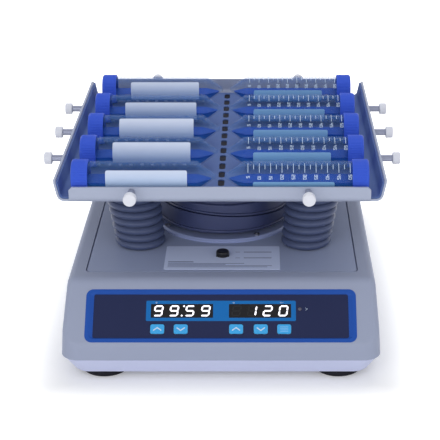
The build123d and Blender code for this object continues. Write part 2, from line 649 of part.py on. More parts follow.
def make_hub_yoke():
    low = TRAY_BOTTOM_Z - HUB_THICK
    hub = disc(HUB_RADIUS, low, TRAY_BOTTOM_Z) + yoke_ears("y", PIVOT_Z, low)
    for x, y in on_circle(HUB_SCREWS, HUB_SCREW_CIRCLE, 45):
        hub -= disc(HUB_SCREW_RADIUS + PRESS_GAP, low - 1, TRAY_BOTTOM_Z + 1, x, y)
    return hub


def make_hub_screws():
    low = TRAY_BOTTOM_Z - HUB_THICK
    return [
        disc(HUB_SCREW_HEAD, low - HUB_SCREW_HEAD_THICK, low, x, y)
        + disc(HUB_SCREW_RADIUS, low, TRAY_FLOOR_Z, x, y)
        for x, y in on_circle(HUB_SCREWS, HUB_SCREW_CIRCLE, 45)
    ]


# ---------------------------------------------------------------- drive pieces
def make_hollow_shaft():
    """Turning sleeve round the post, with the flange that carries the discs."""
    inner = BEARING_RADIUS
    sleeve = ring(SHAFT_RADIUS, inner, SHAFT_BOTTOM_Z, LOWER_DISC_Z)
    sleeve += ring(SHAFT_FLANGE_RADIUS, inner, LOWER_DISC_Z - SHAFT_FLANGE_THICK, LOWER_DISC_Z)
    shoulder_low = LOWER_BEARING_Z + BEARING_WIDTH + 0.1
    return sleeve + ring(SHAFT_RADIUS, POST_RADIUS + 2, shoulder_low, UPPER_BEARING_Z - 0.1)


def make_driven_pulley():
    low = BELT_Z - PULLEY_WIDTH / 2
    high = BELT_Z + PULLEY_WIDTH / 2
    groove = BELT_WIDTH / 2 + BODY_GAP
    wheel = disc(DRIVEN_PULLEY_RADIUS, low, high)
    for z in ((low, BELT_Z - groove), (BELT_Z + groove, high)):
        wheel += disc(DRIVEN_PULLEY_RADIUS + PULLEY_LIP, *z)
    wheel -= ring(DRIVEN_PULLEY_RADIUS - PULLEY_RIM, PULLEY_HUB_RADIUS, low - 1, high + 1)
    rim_mid = DRIVEN_PULLEY_RADIUS - PULLEY_RIM / 2
    for i in range(PULLEY_SPOKES):
        start = (PULLEY_HUB_RADIUS - 2 + rim_mid) / 2
        length = rim_mid - PULLEY_HUB_RADIUS + 2
        spoke = Pos(start, 0, low) * Box(length, SPOKE_WIDTH, PULLEY_WIDTH, align=ANCHOR_BOTTOM)
        wheel += Rot(0, 0, i * 360 / PULLEY_SPOKES) * spoke
    for x, y in on_circle(LOCK_HOLES, -KNOB_Y, -90):
        wheel -= disc(LOCK_HOLE_RADIUS, low - 1, high + 1, x, y)
    return wheel - disc(SHAFT_RADIUS + PRESS_GAP, low - 1, high + 1)


def make_lower_disc():
    """Lower wedge: a level foot, a leaning top face and a spigot for the upper wedge."""
    body = disc(LOWER_DISC_RADIUS, LOWER_DISC_Z, UPPER_DISC_TOP_Z)
    bead = disc(LOWER_DISC_RADIUS + DISC_BEAD, LOWER_DISC_Z, LOWER_DISC_Z + DISC_BEAD_HEIGHT)
    body += fillet(bead.edges(), DISC_BEAD_ROUND)
    body -= WEDGE_PLANE * Box(4 * LOWER_DISC_RADIUS, 4 * LOWER_DISC_RADIUS, LOWER_DISC_Z, align=ANCHOR_BOTTOM)
    spigot = Cylinder(SPIGOT_RADIUS, SPIGOT_HEIGHT + 2, align=ANCHOR_BOTTOM)
    body += WEDGE_PLANE.offset(-2) * spigot
    body -= WEDGE_PLANE.offset(-2) * Cylinder(SPIGOT_RADIUS - SPIGOT_WALL, SPIGOT_RADIUS, align=ANCHOR_BOTTOM)
    return body - disc(LOWER_DISC_BORE, LOWER_DISC_Z - 1, UPPER_DISC_TOP_Z)


def make_upper_disc():
    """Upper wedge: turns on the lower one's spigot, so its level top and race tip over."""
    body = disc(UPPER_DISC_RADIUS, LOWER_DISC_Z, UPPER_DISC_STEP_Z)
    body = fillet(body.edges().group_by(Axis.Z)[-1], CROWN_EDGE)
    crown = disc(CROWN_RADIUS, LOWER_DISC_Z, UPPER_DISC_TOP_Z)
    body += fillet(crown.edges().group_by(Axis.Z)[-1], CROWN_EDGE)
    body += ring(RACE_OUTER, RACE_INNER, UPPER_DISC_TOP_Z - 1, UPPER_DISC_TOP_Z + RACE_THICK)
    base = WEDGE_PLANE.offset(WEDGE_GAP)
    body -= base * Box(4 * UPPER_DISC_RADIUS, 4 * UPPER_DISC_RADIUS, LOWER_DISC_Z, align=ANCHOR_TOP)
    lip = Cylinder(UPPER_DISC_RADIUS + DISC_BEAD, DISC_BEAD_HEIGHT, align=ANCHOR_BOTTOM)
    body += base * fillet(lip.edges(), DISC_BEAD_ROUND)
    body -= base.offset(-1) * Cylinder(
        SPIGOT_RADIUS + RUNNING_FIT, SPIGOT_HEIGHT + 1 + BODY_GAP, align=ANCHOR_BOTTOM
    )
    return body - disc(UPPER_DISC_BORE, LOWER_DISC_Z, UPPER_DISC_TOP_Z + 1)


def make_motor_pulley():
    low = BELT_Z - PULLEY_WIDTH / 2
    high = BELT_Z + PULLEY_WIDTH / 2
    groove = BELT_WIDTH / 2 + BODY_GAP
    wheel = disc(MOTOR_PULLEY_RADIUS, low, high, 0, MOTOR_Y)
    for z in ((low, BELT_Z - groove), (BELT_Z + groove, high)):
        wheel += disc(MOTOR_PULLEY_RADIUS + PULLEY_LIP, *z, 0, MOTOR_Y)
    return wheel + disc(MOTOR_SHAFT_RADIUS, BRACKET_Z - MOTOR_HEIGHT / 3, high, 0, MOTOR_Y)


def belt_outline(growth):
    """Loop that goes straight between the two pulleys and round each of them."""
    large = Circle(DRIVEN_PULLEY_RADIUS + growth)
    small = Pos(0, MOTOR_Y) * Circle(MOTOR_PULLEY_RADIUS + growth)
    return make_hull(large.edges() + small.edges())


def make_belt():
    band = belt_outline(BELT_SEAT + BELT_THICK) - belt_outline(BELT_SEAT)
    return extrude(Plane.XY.offset(BELT_Z - BELT_WIDTH / 2) * band, BELT_WIDTH)


def make_motor():
    low = BRACKET_Z - MOTOR_HEIGHT
    can = disc(MOTOR_RADIUS, low, BRACKET_Z, 0, MOTOR_Y)
    can = fillet(can.edges().group_by(Axis.Z)[0], MOTOR_EDGE)
    bore_low = BRACKET_Z - MOTOR_HEIGHT / 3 - BODY_GAP
    return can - disc(MOTOR_SHAFT_RADIUS + BODY_GAP, bore_low, BRACKET_Z + 1, 0, MOTOR_Y)


def make_bracket():
    """Folded sheet bridge that the motor hangs from."""
    top = BRACKET_Z + BRACKET_THICK
    bridge = block(BRACKET_WIDTH, BRACKET_DEPTH, PAN_FLOOR_Z, top, 0, MOTOR_Y)
    inner_width = BRACKET_WIDTH - 2 * BRACKET_THICK
    bridge -= block(inner_width, BRACKET_DEPTH + 2, PAN_FLOOR_Z - 1, BRACKET_Z, 0, MOTOR_Y)
    for side in (-1, 1):
        x = side * (BRACKET_WIDTH / 2 + BRACKET_FOOT / 2 - BRACKET_THICK)
        bridge += block(BRACKET_FOOT, BRACKET_DEPTH, PAN_FLOOR_Z, PAN_FLOOR_Z + BRACKET_THICK, x, MOTOR_Y)
    return bridge - disc(MOTOR_SHAFT_RADIUS + 3, BRACKET_Z - 1, top + 1, 0, MOTOR_Y)


def make_power_supply():
    width, depth, height = SUPPLY_SIZE
    case = block(width, depth, PAN_FLOOR_Z, PAN_FLOOR_Z + height, SUPPLY_X, SUPPLY_Y)
    case = fillet(case.edges().filter_by(Axis.Z), SUPPLY_EDGE)
    top = PAN_FLOOR_Z + height
    for i in range(SUPPLY_VENTS):
        y = SUPPLY_Y + (i - (SUPPLY_VENTS - 1) / 2) * SUPPLY_VENT_PITCH
        length = width - 2 * SUPPLY_VENT_INSET
        case -= block(length, SUPPLY_VENT_WIDTH, top - SUPPLY_VENT_DEPTH, top + 1, SUPPLY_X, y)
    return case


def make_inlet():
    """Three-pin mains socket with its flange on the rear wall."""
    face = on_rear(INLET_X, INLET_FLANGE_THICK)
    outline = RectangleRounded(INLET_WIDTH + 2 * INLET_FLANGE, INLET_HEIGHT + 2 * INLET_FLANGE, INLET_CORNER)
    shell = face * extrude(outline, -INLET_FLANGE_THICK)
    shell += face * Box(INLET_WIDTH, INLET_HEIGHT, INLET_DEPTH, align=ANCHOR_TOP)
    hollow = Box(
        INLET_WIDTH - 2 * INLET_WALL, INLET_HEIGHT - 2 * INLET_WALL, INLET_SOCKET_DEPTH + 1, align=ANCHOR_TOP
    )
    hollow = chamfer(hollow.edges().filter_by(Axis.Z).group_by(Axis.Y)[0], INLET_SLANT)
    shell -= face * Pos(0, 0, 1) * hollow
    for x, y in INLET_PINS:
        pin = Box(*INLET_PIN_SIZE, INLET_PIN_LENGTH, align=ANCHOR_BOTTOM)
        shell += face * Pos(x, y, -INLET_SOCKET_DEPTH - 1) * pin
    return shell


def make_switch_frame():
    """Frame of the mains rocker, with its pivot pin."""
    face = on_rear(ROCKER_X, INLET_FLANGE_THICK)
    width = ROCKER_WIDTH + 2 * FRAME_WALL
    height = ROCKER_HEIGHT + 2 * FRAME_WALL
    body = face * Box(width + 2 * FRAME_RIM, height + 2 * FRAME_RIM, INLET_FLANGE_THICK, align=ANCHOR_TOP)
    body += face * Box(width, height, FRAME_DEPTH, align=ANCHOR_TOP)
    body -= face * Pos(0, 0, 1) * Box(
        ROCKER_WIDTH + 2 * BODY_GAP, ROCKER_HEIGHT + 2 * ROCKER_SWING, FRAME_DEPTH - FRAME_BACK,
        align=ANCHOR_TOP,
    )
    pin = Rot(0, 90, 0) * Cylinder(ROCKER_PIN_RADIUS, ROCKER_WIDTH + FRAME_WALL)
    return body + face * Pos(0, 0, -ROCKER_PIVOT_DEPTH) * pin


def make_rocker():
    """Rocker paddle with two flat halves that meet at a shallow valley."""
    half = ROCKER_HEIGHT / 2
    rise = half * math.tan(math.radians(ROCKER_TILT))
    depth = ROCKER_PIVOT_DEPTH
    outline = Polyline(
        (0, depth), (half, depth + rise), (half, depth - ROCKER_THICK), (ROCKER_NECK, -ROCKER_ROOT),
        (-ROCKER_NECK, -ROCKER_ROOT), (-half, depth - ROCKER_THICK), (-half, depth + rise), close=True,
    )
    paddle = extrude(Plane.YZ * make_face(outline), ROCKER_WIDTH / 2, both=True)
    paddle -= Plane.YZ * Cylinder(ROCKER_PIN_RADIUS + RUNNING_FIT, 2 * ROCKER_WIDTH)
    pivot = on_rear(ROCKER_X, INLET_FLANGE_THICK - ROCKER_PIVOT_DEPTH)
    return pivot * Rot(ROCKER_TILT, 0, 0) * paddle


# ---------------------------------------------------------------- platform pieces
def channel(half_span, height, front, rear, low, thick, bend, flare):
    """Sheet that runs along Y, its two long edges turned up and leaning out by flare degrees."""
    lean = math.radians(flare)

    def section(half, base, radius):
        """Closed form under the sheet's outer or inner face."""
        top = half + 2 * height * math.tan(lean)
        corners = [(-half, base), (half, base), (top, base + 2 * height), (-top, base + 2 * height)]
        form = make_face(Polyline(*corners, close=True))
        return fillet(form.vertices().group_by(Axis.Y)[0], radius)

    inner_half = half_span + thick * math.tan(lean) - thick / math.cos(lean)
    sheet = section(half_span, low, bend) - section(inner_half, low + thick, bend - thick)
    sheet -= Pos(0, low + height) * Rectangle(
        4 * half_span, 4 * height, align=(Align.CENTER, Align.MIN)
    )
    return Pos(0, (rear - front) / 2) * extrude(Plane.XZ * sheet, (front + rear) / 2, both=True)


def clip_corners(sheet):
    """Chamfer the free corners at both ends of the upturned edges."""
    return chamfer(sheet.edges().filter_by(Axis.X).group_by(Axis.Z)[-1], FLANGE_CORNER)


def end_flange(height, side):
    """Front or rear half of the tray floor with its upturned edge."""
    half = channel(
        TRAY_HALF_DEPTH, height, END_FLANGE_HALF, END_FLANGE_HALF, TRAY_BOTTOM_Z, SHEET, BEND_RADIUS, 0
    )
    half = Rot(0, 0, 90) * clip_corners(half)
    return half - Pos(0, -side * TRAY_HALF_DEPTH, TRAY_BOTTOM_Z) * Box(
        4 * TRAY_HALF_WIDTH, 2 * TRAY_HALF_DEPTH, 4 * height, align=ANCHOR_BOTTOM
    )


def make_tray():
    tray = clip_corners(channel(
        TRAY_HALF_WIDTH, SIDE_FLANGE_HEIGHT, SIDE_FLANGE_FRONT, SIDE_FLANGE_REAR,
        TRAY_BOTTOM_Z, SHEET, BEND_RADIUS, SIDE_FLARE,
    ))
    tray += end_flange(FRONT_FLANGE_HEIGHT, -1)
    tray += end_flange(REAR_FLANGE_HEIGHT, 1)
    for place, _ in peg_places():
        tray -= place * Cylinder(PEG_STUD_RADIUS + PRESS_GAP, 4 * SHEET)
    for x, y in on_circle(HUB_SCREWS, HUB_SCREW_CIRCLE, 45):
        tray -= disc(HUB_SCREW_RADIUS + PRESS_GAP, TRAY_BOTTOM_Z - 1, TRAY_FLOOR_Z + 1, x, y)
    return tray


def peg_places():
    """Place of each peg on a flange's outer face, local +Z outwards and +Y up, and that face's lean."""
    flared_x = TRAY_HALF_WIDTH + (PEG_Z - TRAY_BOTTOM_Z) * math.tan(math.radians(SIDE_FLARE))
    places = []
    for side in (-1, 1):
        for x in (-PEG_END_X, PEG_END_X):
            face = Plane(origin=(x, side * TRAY_HALF_DEPTH, PEG_Z), x_dir=(-side, 0, 0), z_dir=(0, side, 0))
            places.append((face.location, 0))
        for y in PEG_SIDE_YS:
            face = Plane(origin=(side * flared_x, y, PEG_Z), x_dir=(0, side, 0), z_dir=(side, 0, 0))
            places.append((face.location, SIDE_FLARE))
    return places


def make_peg_posts():
    """Posts that stand on the flanges, each with a stud pressed through the sheet."""
    posts = []
    for place, lean in peg_places():
        wall = Rot(lean, 0, 0)
        behind = Box(4 * PEG_RADIUS, 4 * PEG_RADIUS, 4 * PEG_RADIUS, align=ANCHOR_TOP)
        post = Pos(0, 0, -PEG_RADIUS) * Cylinder(PEG_RADIUS, PEG_REACH + PEG_RADIUS, align=ANCHOR_BOTTOM)
        post -= wall * behind
        stud = Cylinder(PEG_STUD_RADIUS, 2 * PEG_RADIUS + SHEET, align=ANCHOR_TOP)
        stud += Cylinder(PEG_STUD_RADIUS, PEG_RADIUS, align=ANCHOR_BOTTOM)
        stud -= wall * Pos(0, 0, -SHEET) * behind
        posts.append(place * (post + stud))
    return posts


def make_peg_heads():
    head = Pos(0, 0, PEG_REACH) * Cylinder(PEG_HEAD_RADIUS, PEG_HEAD_LENGTH, align=ANCHOR_BOTTOM)
    head = fillet(head.edges().filter_by(GeomType.CIRCLE), PEG_HEAD_EDGE)
    return [place * head for place, _ in peg_places()]


def make_mat():
    """Rubber mat whose two sides turn up inside the side flanges."""
    lean = math.radians(SIDE_FLARE)
    inside = TRAY_HALF_WIDTH + SHEET * math.tan(lean) - (SHEET + PRESS_GAP) / math.cos(lean)
    mat = channel(
        inside, SIDE_FLANGE_HEIGHT - SHEET - LINING_DROP, SIDE_FLANGE_FRONT - MAT_MARGIN,
        SIDE_FLANGE_REAR - MAT_MARGIN, TRAY_FLOOR_Z, MAT_THICK, BEND_RADIUS - SHEET + PRESS_GAP, SIDE_FLARE,
    )
    half_y = TRAY_HALF_DEPTH - BEND_RADIUS - MAT_MARGIN
    floor = RectangleRounded(2 * (END_FLANGE_HALF - MAT_MARGIN), 2 * half_y, MAT_CORNER)
    mat += extrude(Plane.XY.offset(TRAY_FLOOR_Z) * floor, MAT_THICK)
    for i in range(SLOT_COUNT):
        y = (i - (SLOT_COUNT - 1) / 2) * SLOT_PITCH
        slot = Pos(0, y) * Rot(0, 0, 90) * SlotOverall(SLOT_LENGTH, SLOT_WIDTH)
        mat -= extrude(Plane.XY.offset(TRAY_FLOOR_Z - 1) * slot, MAT_THICK + 2)
    return mat


# ---------------------------------------------------------------- bellows
def make_bellows():
    """Four corrugated rubber sleeves between the deck and the tray."""
    low = DECK_Z
    high = TRAY_BOTTOM_Z
    span = high - low
    lean = math.degrees(math.atan2(BELLOWS_LEAN, span))
    rise = span / math.cos(math.radians(lean)) - 2 * BELLOWS_CUFF
    fold = rise / BELLOWS_FOLDS
    root = BELLOWS_RADIUS - BELLOWS_DEPTH
    outline = [(0, 0), (root, 0), (root, BELLOWS_CUFF)]
    for i in range(BELLOWS_FOLDS):
        crest_growth = BELLOWS_GROWTH * (i + 0.5) / BELLOWS_FOLDS
        root_growth = BELLOWS_GROWTH * (i + 1) / BELLOWS_FOLDS
        outline.append((BELLOWS_RADIUS + crest_growth, BELLOWS_CUFF + (i + 0.5) * fold))
        outline.append((root + root_growth, BELLOWS_CUFF + (i + 1) * fold))
    top = root + BELLOWS_GROWTH
    outline += [(top, rise + 2 * BELLOWS_CUFF), (0, rise + 2 * BELLOWS_CUFF)]
    sleeve = revolve(Plane.XZ * make_face(Polyline(*outline, close=True)), Axis.Z)
    cut = 4 * BELLOWS_RADIUS
    sleeves = []
    for x, y in bellows_places():
        side = math.copysign(1, x)
        piece = Pos(x, y, low) * Rot(0, side * lean, 0) * sleeve
        piece -= Pos(x, y, low + BELLOWS_GAP) * Box(cut, cut, cut, align=ANCHOR_TOP)
        piece -= Pos(x, y, high - BELLOWS_GAP) * Box(cut, cut, cut, align=ANCHOR_BOTTOM)
        sleeves.append(piece)
    return sleeves


# ---------------------------------------------------------------- sample tubes
def tube_profile():
    """Half section of a conical tube, tip at the start, open end at the cap."""
    neck = TUBE_LENGTH - CAP_LENGTH
    mouth = TUBE_LENGTH - CAP_WALL - 0.1
    neck_radius = CAP_RADIUS - CAP_WALL - PRESS_GAP
    wall = TUBE_WALL
    return make_face(
        Polyline(
            (0, 0), (0, TUBE_TIP_RADIUS), (CONE_LENGTH, TUBE_RADIUS), (neck, TUBE_RADIUS),
            (neck, neck_radius), (mouth, neck_radius), (mouth, neck_radius - wall),
            (neck, TUBE_RADIUS - wall - 0.6),
            (CONE_LENGTH, TUBE_RADIUS - wall), (wall, TUBE_TIP_RADIUS - wall), (wall, 0), close=True,
        )
    )


def make_tube():
    return revolve(tube_profile(), Axis.X)


def make_cap():
    low = TUBE_LENGTH - CAP_LENGTH
    plane = Plane(origin=(low, 0, 0), x_dir=(0, 1, 0), z_dir=(1, 0, 0))
    cap = plane * Cylinder(CAP_RADIUS, CAP_LENGTH, align=ANCHOR_BOTTOM)
    cap = chamfer(cap.edges().group_by(Axis.X)[-1], 1.0)
    hollow = Cylinder(CAP_RADIUS - CAP_WALL, CAP_LENGTH - CAP_WALL + 1, align=ANCHOR_BOTTOM)
    hollow = plane.offset(-1) * hollow
    length = CAP_LENGTH - 2 * CAP_GROOVE_ENDS
    groove = plane.offset(CAP_GROOVE_ENDS) * Pos(CAP_RADIUS, 0) * Cylinder(
        CAP_GROOVE_RADIUS, length, align=ANCHOR_BOTTOM
    )
    grooves = [Rot(i * 360 / CAP_GROOVES, 0, 0) * groove for i in range(CAP_GROOVES)]
    return cap - hollow - grooves


def tube_places():
    """Name and place of each tube: rows counted from the front, left and right."""
    for row in range(TUBE_ROWS):
        y = TUBE_MIDDLE_Y + (row - (TUBE_ROWS - 1) / 2) * TUBE_PITCH
        for side, turn in (("left", 180), ("right", 0)):
            x = -TUBE_TIP_X if side == "left" else TUBE_TIP_X
            yield f"{side}_{row + 1}", Pos(x, y, TUBE_AXIS_Z) * Rot(0, 0, turn)


# ---------------------------------------------------------------- write every node
def main():
    os.makedirs("parts", exist_ok=True)
    save(make_pan(), "base_pan")
    save(make_feet(), "rubber_feet")
    save(make_base_screws(), "base_screws")
    save(make_housing(), "housing")
    save(make_deck_plate(), "deck_plate")
    save(make_clamp_flange(), "clamp_flange")
    save(make_knob_bush(), "knob_bush")
    save(make_bezel(), "panel_bezel")
    save(make_overlay(), "panel_overlay")
    save(make_windows(), "display_windows")
    save(make_control_board(), "control_board")
    save(make_post(), "centre_post")
    save(make_post_yoke(), "post_yoke")
    save(make_bearings(), "main_bearings")
    save(make_belt(), "drive_belt")
    save(make_motor(), "motor")
    save(make_bracket(), "motor_bracket")
    save(make_power_supply(), "power_supply")
    save(make_inlet(), "mains_inlet")
    save(make_switch_frame(), "switch_frame")
    save(make_bellows(), "bellows")
    save(make_hollow_shaft(), "hollow_shaft")
    save(make_driven_pulley(), "driven_pulley")
    save(make_lower_disc(), "lower_wedge_disc")
    save(make_upper_disc(), "upper_wedge_disc")
    save(make_motor_pulley(), "motor_pulley")
    save(make_gimbal_cross(), "gimbal_cross")
    save(make_hub_yoke(), "hub_yoke")
    save(make_hub_screws(), "hub_screws")
    save(make_tray(), "tray")
    save(make_mat(), "tray_mat")
    save(make_peg_posts(), "peg_posts")
    save(make_peg_heads(), "peg_heads")
    head, pin = make_angle_knob()
    save(head + pin, "angle_knob")
    save(make_rocker(), "power_rocker")
    for number, x in enumerate(KEY_XS, start=1):
        save(make_key(x), f"key_{number}")
    tube = make_tube()
    cap = make_cap()
    for name, place in tube_places():
        save(place * tube, f"tube_{name}")
        save(place * cap, f"cap_{name}")


main()
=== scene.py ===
"""Looks of a bench tube rotator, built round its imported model.

The object is a low housing with a sloped control panel, a drum and four bellows
on its deck, and a tilting tray that carries ten capped conical tubes.
All places and sizes are in metres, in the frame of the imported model.
"""
import logging
import math
from dataclasses import dataclass, field
from enum import Enum
from typing import Callable, Sequence

import bpy
import numpy as np
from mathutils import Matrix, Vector


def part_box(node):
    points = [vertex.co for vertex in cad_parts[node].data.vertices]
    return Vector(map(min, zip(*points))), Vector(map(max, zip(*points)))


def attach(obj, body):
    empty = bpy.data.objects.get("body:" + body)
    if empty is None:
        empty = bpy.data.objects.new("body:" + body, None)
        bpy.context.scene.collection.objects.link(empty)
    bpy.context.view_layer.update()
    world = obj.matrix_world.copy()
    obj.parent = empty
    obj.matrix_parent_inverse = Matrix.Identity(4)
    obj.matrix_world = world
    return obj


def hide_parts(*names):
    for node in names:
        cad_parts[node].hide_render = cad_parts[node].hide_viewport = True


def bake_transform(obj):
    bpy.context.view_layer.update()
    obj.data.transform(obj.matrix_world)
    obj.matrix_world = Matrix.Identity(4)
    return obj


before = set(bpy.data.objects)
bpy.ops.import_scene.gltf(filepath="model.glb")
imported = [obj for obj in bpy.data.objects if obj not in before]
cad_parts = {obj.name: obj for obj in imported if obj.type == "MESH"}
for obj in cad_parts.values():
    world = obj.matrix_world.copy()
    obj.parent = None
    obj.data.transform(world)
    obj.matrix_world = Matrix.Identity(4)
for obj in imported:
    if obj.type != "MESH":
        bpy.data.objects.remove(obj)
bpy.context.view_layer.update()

LOG = logging.getLogger("tube_rotator")
MM = 0.001
DECK_Z = 75.0 * MM
BASE_HALF = (131.0 * MM, 180.0 * MM)
ROWS = 5

Colour = tuple[float, float, float]


# ---------------------------------------------------------------- node groups
class Group(Enum):
    """Shared shader effects, each built once as a node group."""

    MOTTLE = "soft_mottle"
    GRAIN = "fine_grain"
    BRUSH = "brushed_lines"
    DUST = "settled_dust"


def new_group(name: str, inputs: Sequence[tuple[str, str, object]], outputs: Sequence[tuple[str, str]]):
    """Make an empty shader group with named sockets.

    Args:
        name: name of the group.
        inputs: label, socket type and default of each input.
        outputs: label and socket type of each output.

    Returns:
        The tree, its input node and its output node.
    """
    tree = bpy.data.node_groups.new(name, "ShaderNodeTree")
    for label, kind, default in inputs:
        socket = tree.interface.new_socket(name=label, in_out="INPUT", socket_type=kind)
        if default is not None:
            socket.default_value = default
    for label, kind in outputs:
        tree.interface.new_socket(name=label, in_out="OUTPUT", socket_type=kind)
    return tree, tree.nodes.new("NodeGroupInput"), tree.nodes.new("NodeGroupOutput")


def add(tree: bpy.types.NodeTree, kind: str, **values: object) -> bpy.types.Node:
    """Add a node and set its properties or sockets.

    Args:
        tree: tree that gets the node.
        kind: Blender's node type.
        values: a property by its name, or a socket default as s_NAME with spaces as underscores.

    Returns:
        The node.
    """
    node = tree.nodes.new(kind)
    for key, value in values.items():
        if key.startswith("s_"):
            node.inputs[key[2:].replace("_", " ")].default_value = value
        else:
            setattr(node, key, value)
    return node


def math_node(tree: bpy.types.NodeTree, operation: str, first: object, second: object = 0.0) -> object:
    """Join a two-input maths node.

    Args:
        tree: tree that gets the node.
        operation: Blender's name of the operation.
        first: socket or number.
        second: socket or number.

    Returns:
        The result socket.
    """
    node = add(tree, "ShaderNodeMath", operation=operation)
    for index, value in enumerate((first, second)):
        if isinstance(value, (int, float)):
            node.inputs[index].default_value = value
        else:
            tree.links.new(value, node.inputs[index])
    return node.outputs[0]


def object_noise(
    tree: bpy.types.NodeTree, scale: object, detail: float, stretch: Vector | None = None
) -> object:
    """Noise on Object coordinates, optionally stretched.

    Args:
        tree: tree that gets the nodes.
        scale: socket or number.
        detail: octaves of the noise.
        stretch: scale of each axis before the noise.

    Returns:
        The noise value socket.
    """
    where = add(tree, "ShaderNodeTexCoord").outputs["Object"]
    if stretch is not None:
        mapping = add(tree, "ShaderNodeMapping")
        mapping.inputs["Scale"].default_value = stretch
        tree.links.new(where, mapping.inputs["Vector"])
        where = mapping.outputs["Vector"]
    noise = add(tree, "ShaderNodeTexNoise", s_Detail=detail)
    tree.links.new(where, noise.inputs["Vector"])
    if isinstance(scale, (int, float)):
        noise.inputs["Scale"].default_value = scale
    else:
        tree.links.new(scale, noise.inputs["Scale"])
    return noise.outputs["Fac"]


def build_mottle() -> bpy.types.NodeTree:
    """Colour that drifts lighter and darker: colour times 1 + amount * (noise - 0.5)."""
    tree, source, sink = new_group(
        Group.MOTTLE.value,
        [("Color", "NodeSocketColor", (1, 1, 1, 1)), ("Amount", "NodeSocketFloat", 0.1),
         ("Scale", "NodeSocketFloat", 20.0)],
        [("Color", "NodeSocketColor"), ("Mask", "NodeSocketFloat")],
    )
    wide = object_noise(tree, source.outputs["Scale"], 3.0)
    centred = math_node(tree, "SUBTRACT", wide, 0.5)
    gain = math_node(tree, "ADD", math_node(tree, "MULTIPLY", centred, source.outputs["Amount"]), 1.0)
    scale = add(tree, "ShaderNodeVectorMath", operation="SCALE")
    tree.links.new(source.outputs["Color"], scale.inputs[0])
    tree.links.new(gain, scale.inputs["Scale"])
    tree.links.new(scale.outputs[0], sink.inputs["Color"])
    tree.links.new(wide, sink.inputs["Mask"])
    return tree


def build_grain() -> bpy.types.NodeTree:
    """Fine moulded or sprayed grain: two noises added, as height and as roughness."""
    tree, source, sink = new_group(
        Group.GRAIN.value,
        [("Scale", "NodeSocketFloat", 900.0), ("Roughness", "NodeSocketFloat", 0.5),
         ("Spread", "NodeSocketFloat", 0.1)],
        [("Height", "NodeSocketFloat"), ("Roughness", "NodeSocketFloat")],
    )
    fine = object_noise(tree, source.outputs["Scale"], 2.0)
    broad = object_noise(tree, 45.0, 2.0)
    centred = math_node(tree, "SUBTRACT", broad, 0.5)
    rough = math_node(tree, "ADD", source.outputs["Roughness"],
                      math_node(tree, "MULTIPLY", centred, source.outputs["Spread"]))
    height = math_node(tree, "ADD", fine, math_node(tree, "MULTIPLY", broad, 0.4))
    tree.links.new(height, sink.inputs["Height"])
    tree.links.new(rough, sink.inputs["Roughness"])
    return tree


def build_brush() -> bpy.types.NodeTree:
    """Drawn lines of rolled or brushed metal: noise stretched along X."""
    tree, source, sink = new_group(
        Group.BRUSH.value,
        [("Scale", "NodeSocketFloat", 300.0), ("Roughness", "NodeSocketFloat", 0.35),
         ("Spread", "NodeSocketFloat", 0.15)],
        [("Height", "NodeSocketFloat"), ("Roughness", "NodeSocketFloat")],
    )
    lines = object_noise(tree, source.outputs["Scale"], 4.0, Vector((0.03, 1.0, 1.0)))
    centred = math_node(tree, "SUBTRACT", lines, 0.5)
    rough = math_node(tree, "ADD", source.outputs["Roughness"],
                      math_node(tree, "MULTIPLY", centred, source.outputs["Spread"]))
    tree.links.new(lines, sink.inputs["Height"])
    tree.links.new(rough, sink.inputs["Roughness"])
    return tree


def build_dust() -> bpy.types.NodeTree:
    """Faint dust on faces that look up: amount * noise * max(normal z, 0), mixed to a pale grey."""
    tree, source, sink = new_group(
        Group.DUST.value,
        [("Color", "NodeSocketColor", (1, 1, 1, 1)), ("Amount", "NodeSocketFloat", 0.05)],
        [("Color", "NodeSocketColor"), ("Mask", "NodeSocketFloat")],
    )
    facing = add(tree, "ShaderNodeSeparateXYZ")
    tree.links.new(add(tree, "ShaderNodeNewGeometry").outputs["Normal"], facing.inputs[0])
    upward = math_node(tree, "MAXIMUM", facing.outputs["Z"], 0.0)
    patches = object_noise(tree, 60.0, 5.0)
    mask = math_node(tree, "MULTIPLY", math_node(tree, "MULTIPLY", upward, patches), source.outputs["Amount"])
    mix = add(tree, "ShaderNodeMix", data_type="RGBA")
    mix.inputs["B"].default_value = (0.62, 0.62, 0.66, 1.0)
    tree.links.new(mask, mix.inputs["Factor"])
    tree.links.new(source.outputs["Color"], mix.inputs["A"])
    tree.links.new(mix.outputs["Result"], sink.inputs["Color"])
    tree.links.new(mask, sink.inputs["Mask"])
    return tree


BUILDERS: dict[Group, Callable[[], bpy.types.NodeTree]] = {
    Group.MOTTLE: build_mottle,
    Group.GRAIN: build_grain,
    Group.BRUSH: build_brush,
    Group.DUST: build_dust,
}


def place_group(tree: bpy.types.NodeTree, kind: Group, **values: object) -> bpy.types.Node:
    """Place a shared group in a material, building it on first use.

    Args:
        tree: the material's tree.
        kind: which shared effect.
        values: defaults of its inputs.

    Returns:
        The group node.
    """
    shared = bpy.data.node_groups.get(kind.value) or BUILDERS[kind]()
    node = tree.nodes.new("ShaderNodeGroup")
    node.node_tree = shared
    for key, value in values.items():
        node.inputs[key].default_value = value
    return node


# ---------------------------------------------------------------- finishes
def linear(level: int) -> float:
    """Linear share of an 8-bit screen level, by the sRGB curve."""
    share = level / 255
    return share / 12.92 if share <= 0.04045 else ((share + 0.055) / 1.055) ** 2.4


def tint(red: int, green: int, blue: int) -> Colour:
    """Linear colour of an 8-bit screen colour."""
    return (linear(red), linear(green), linear(blue))


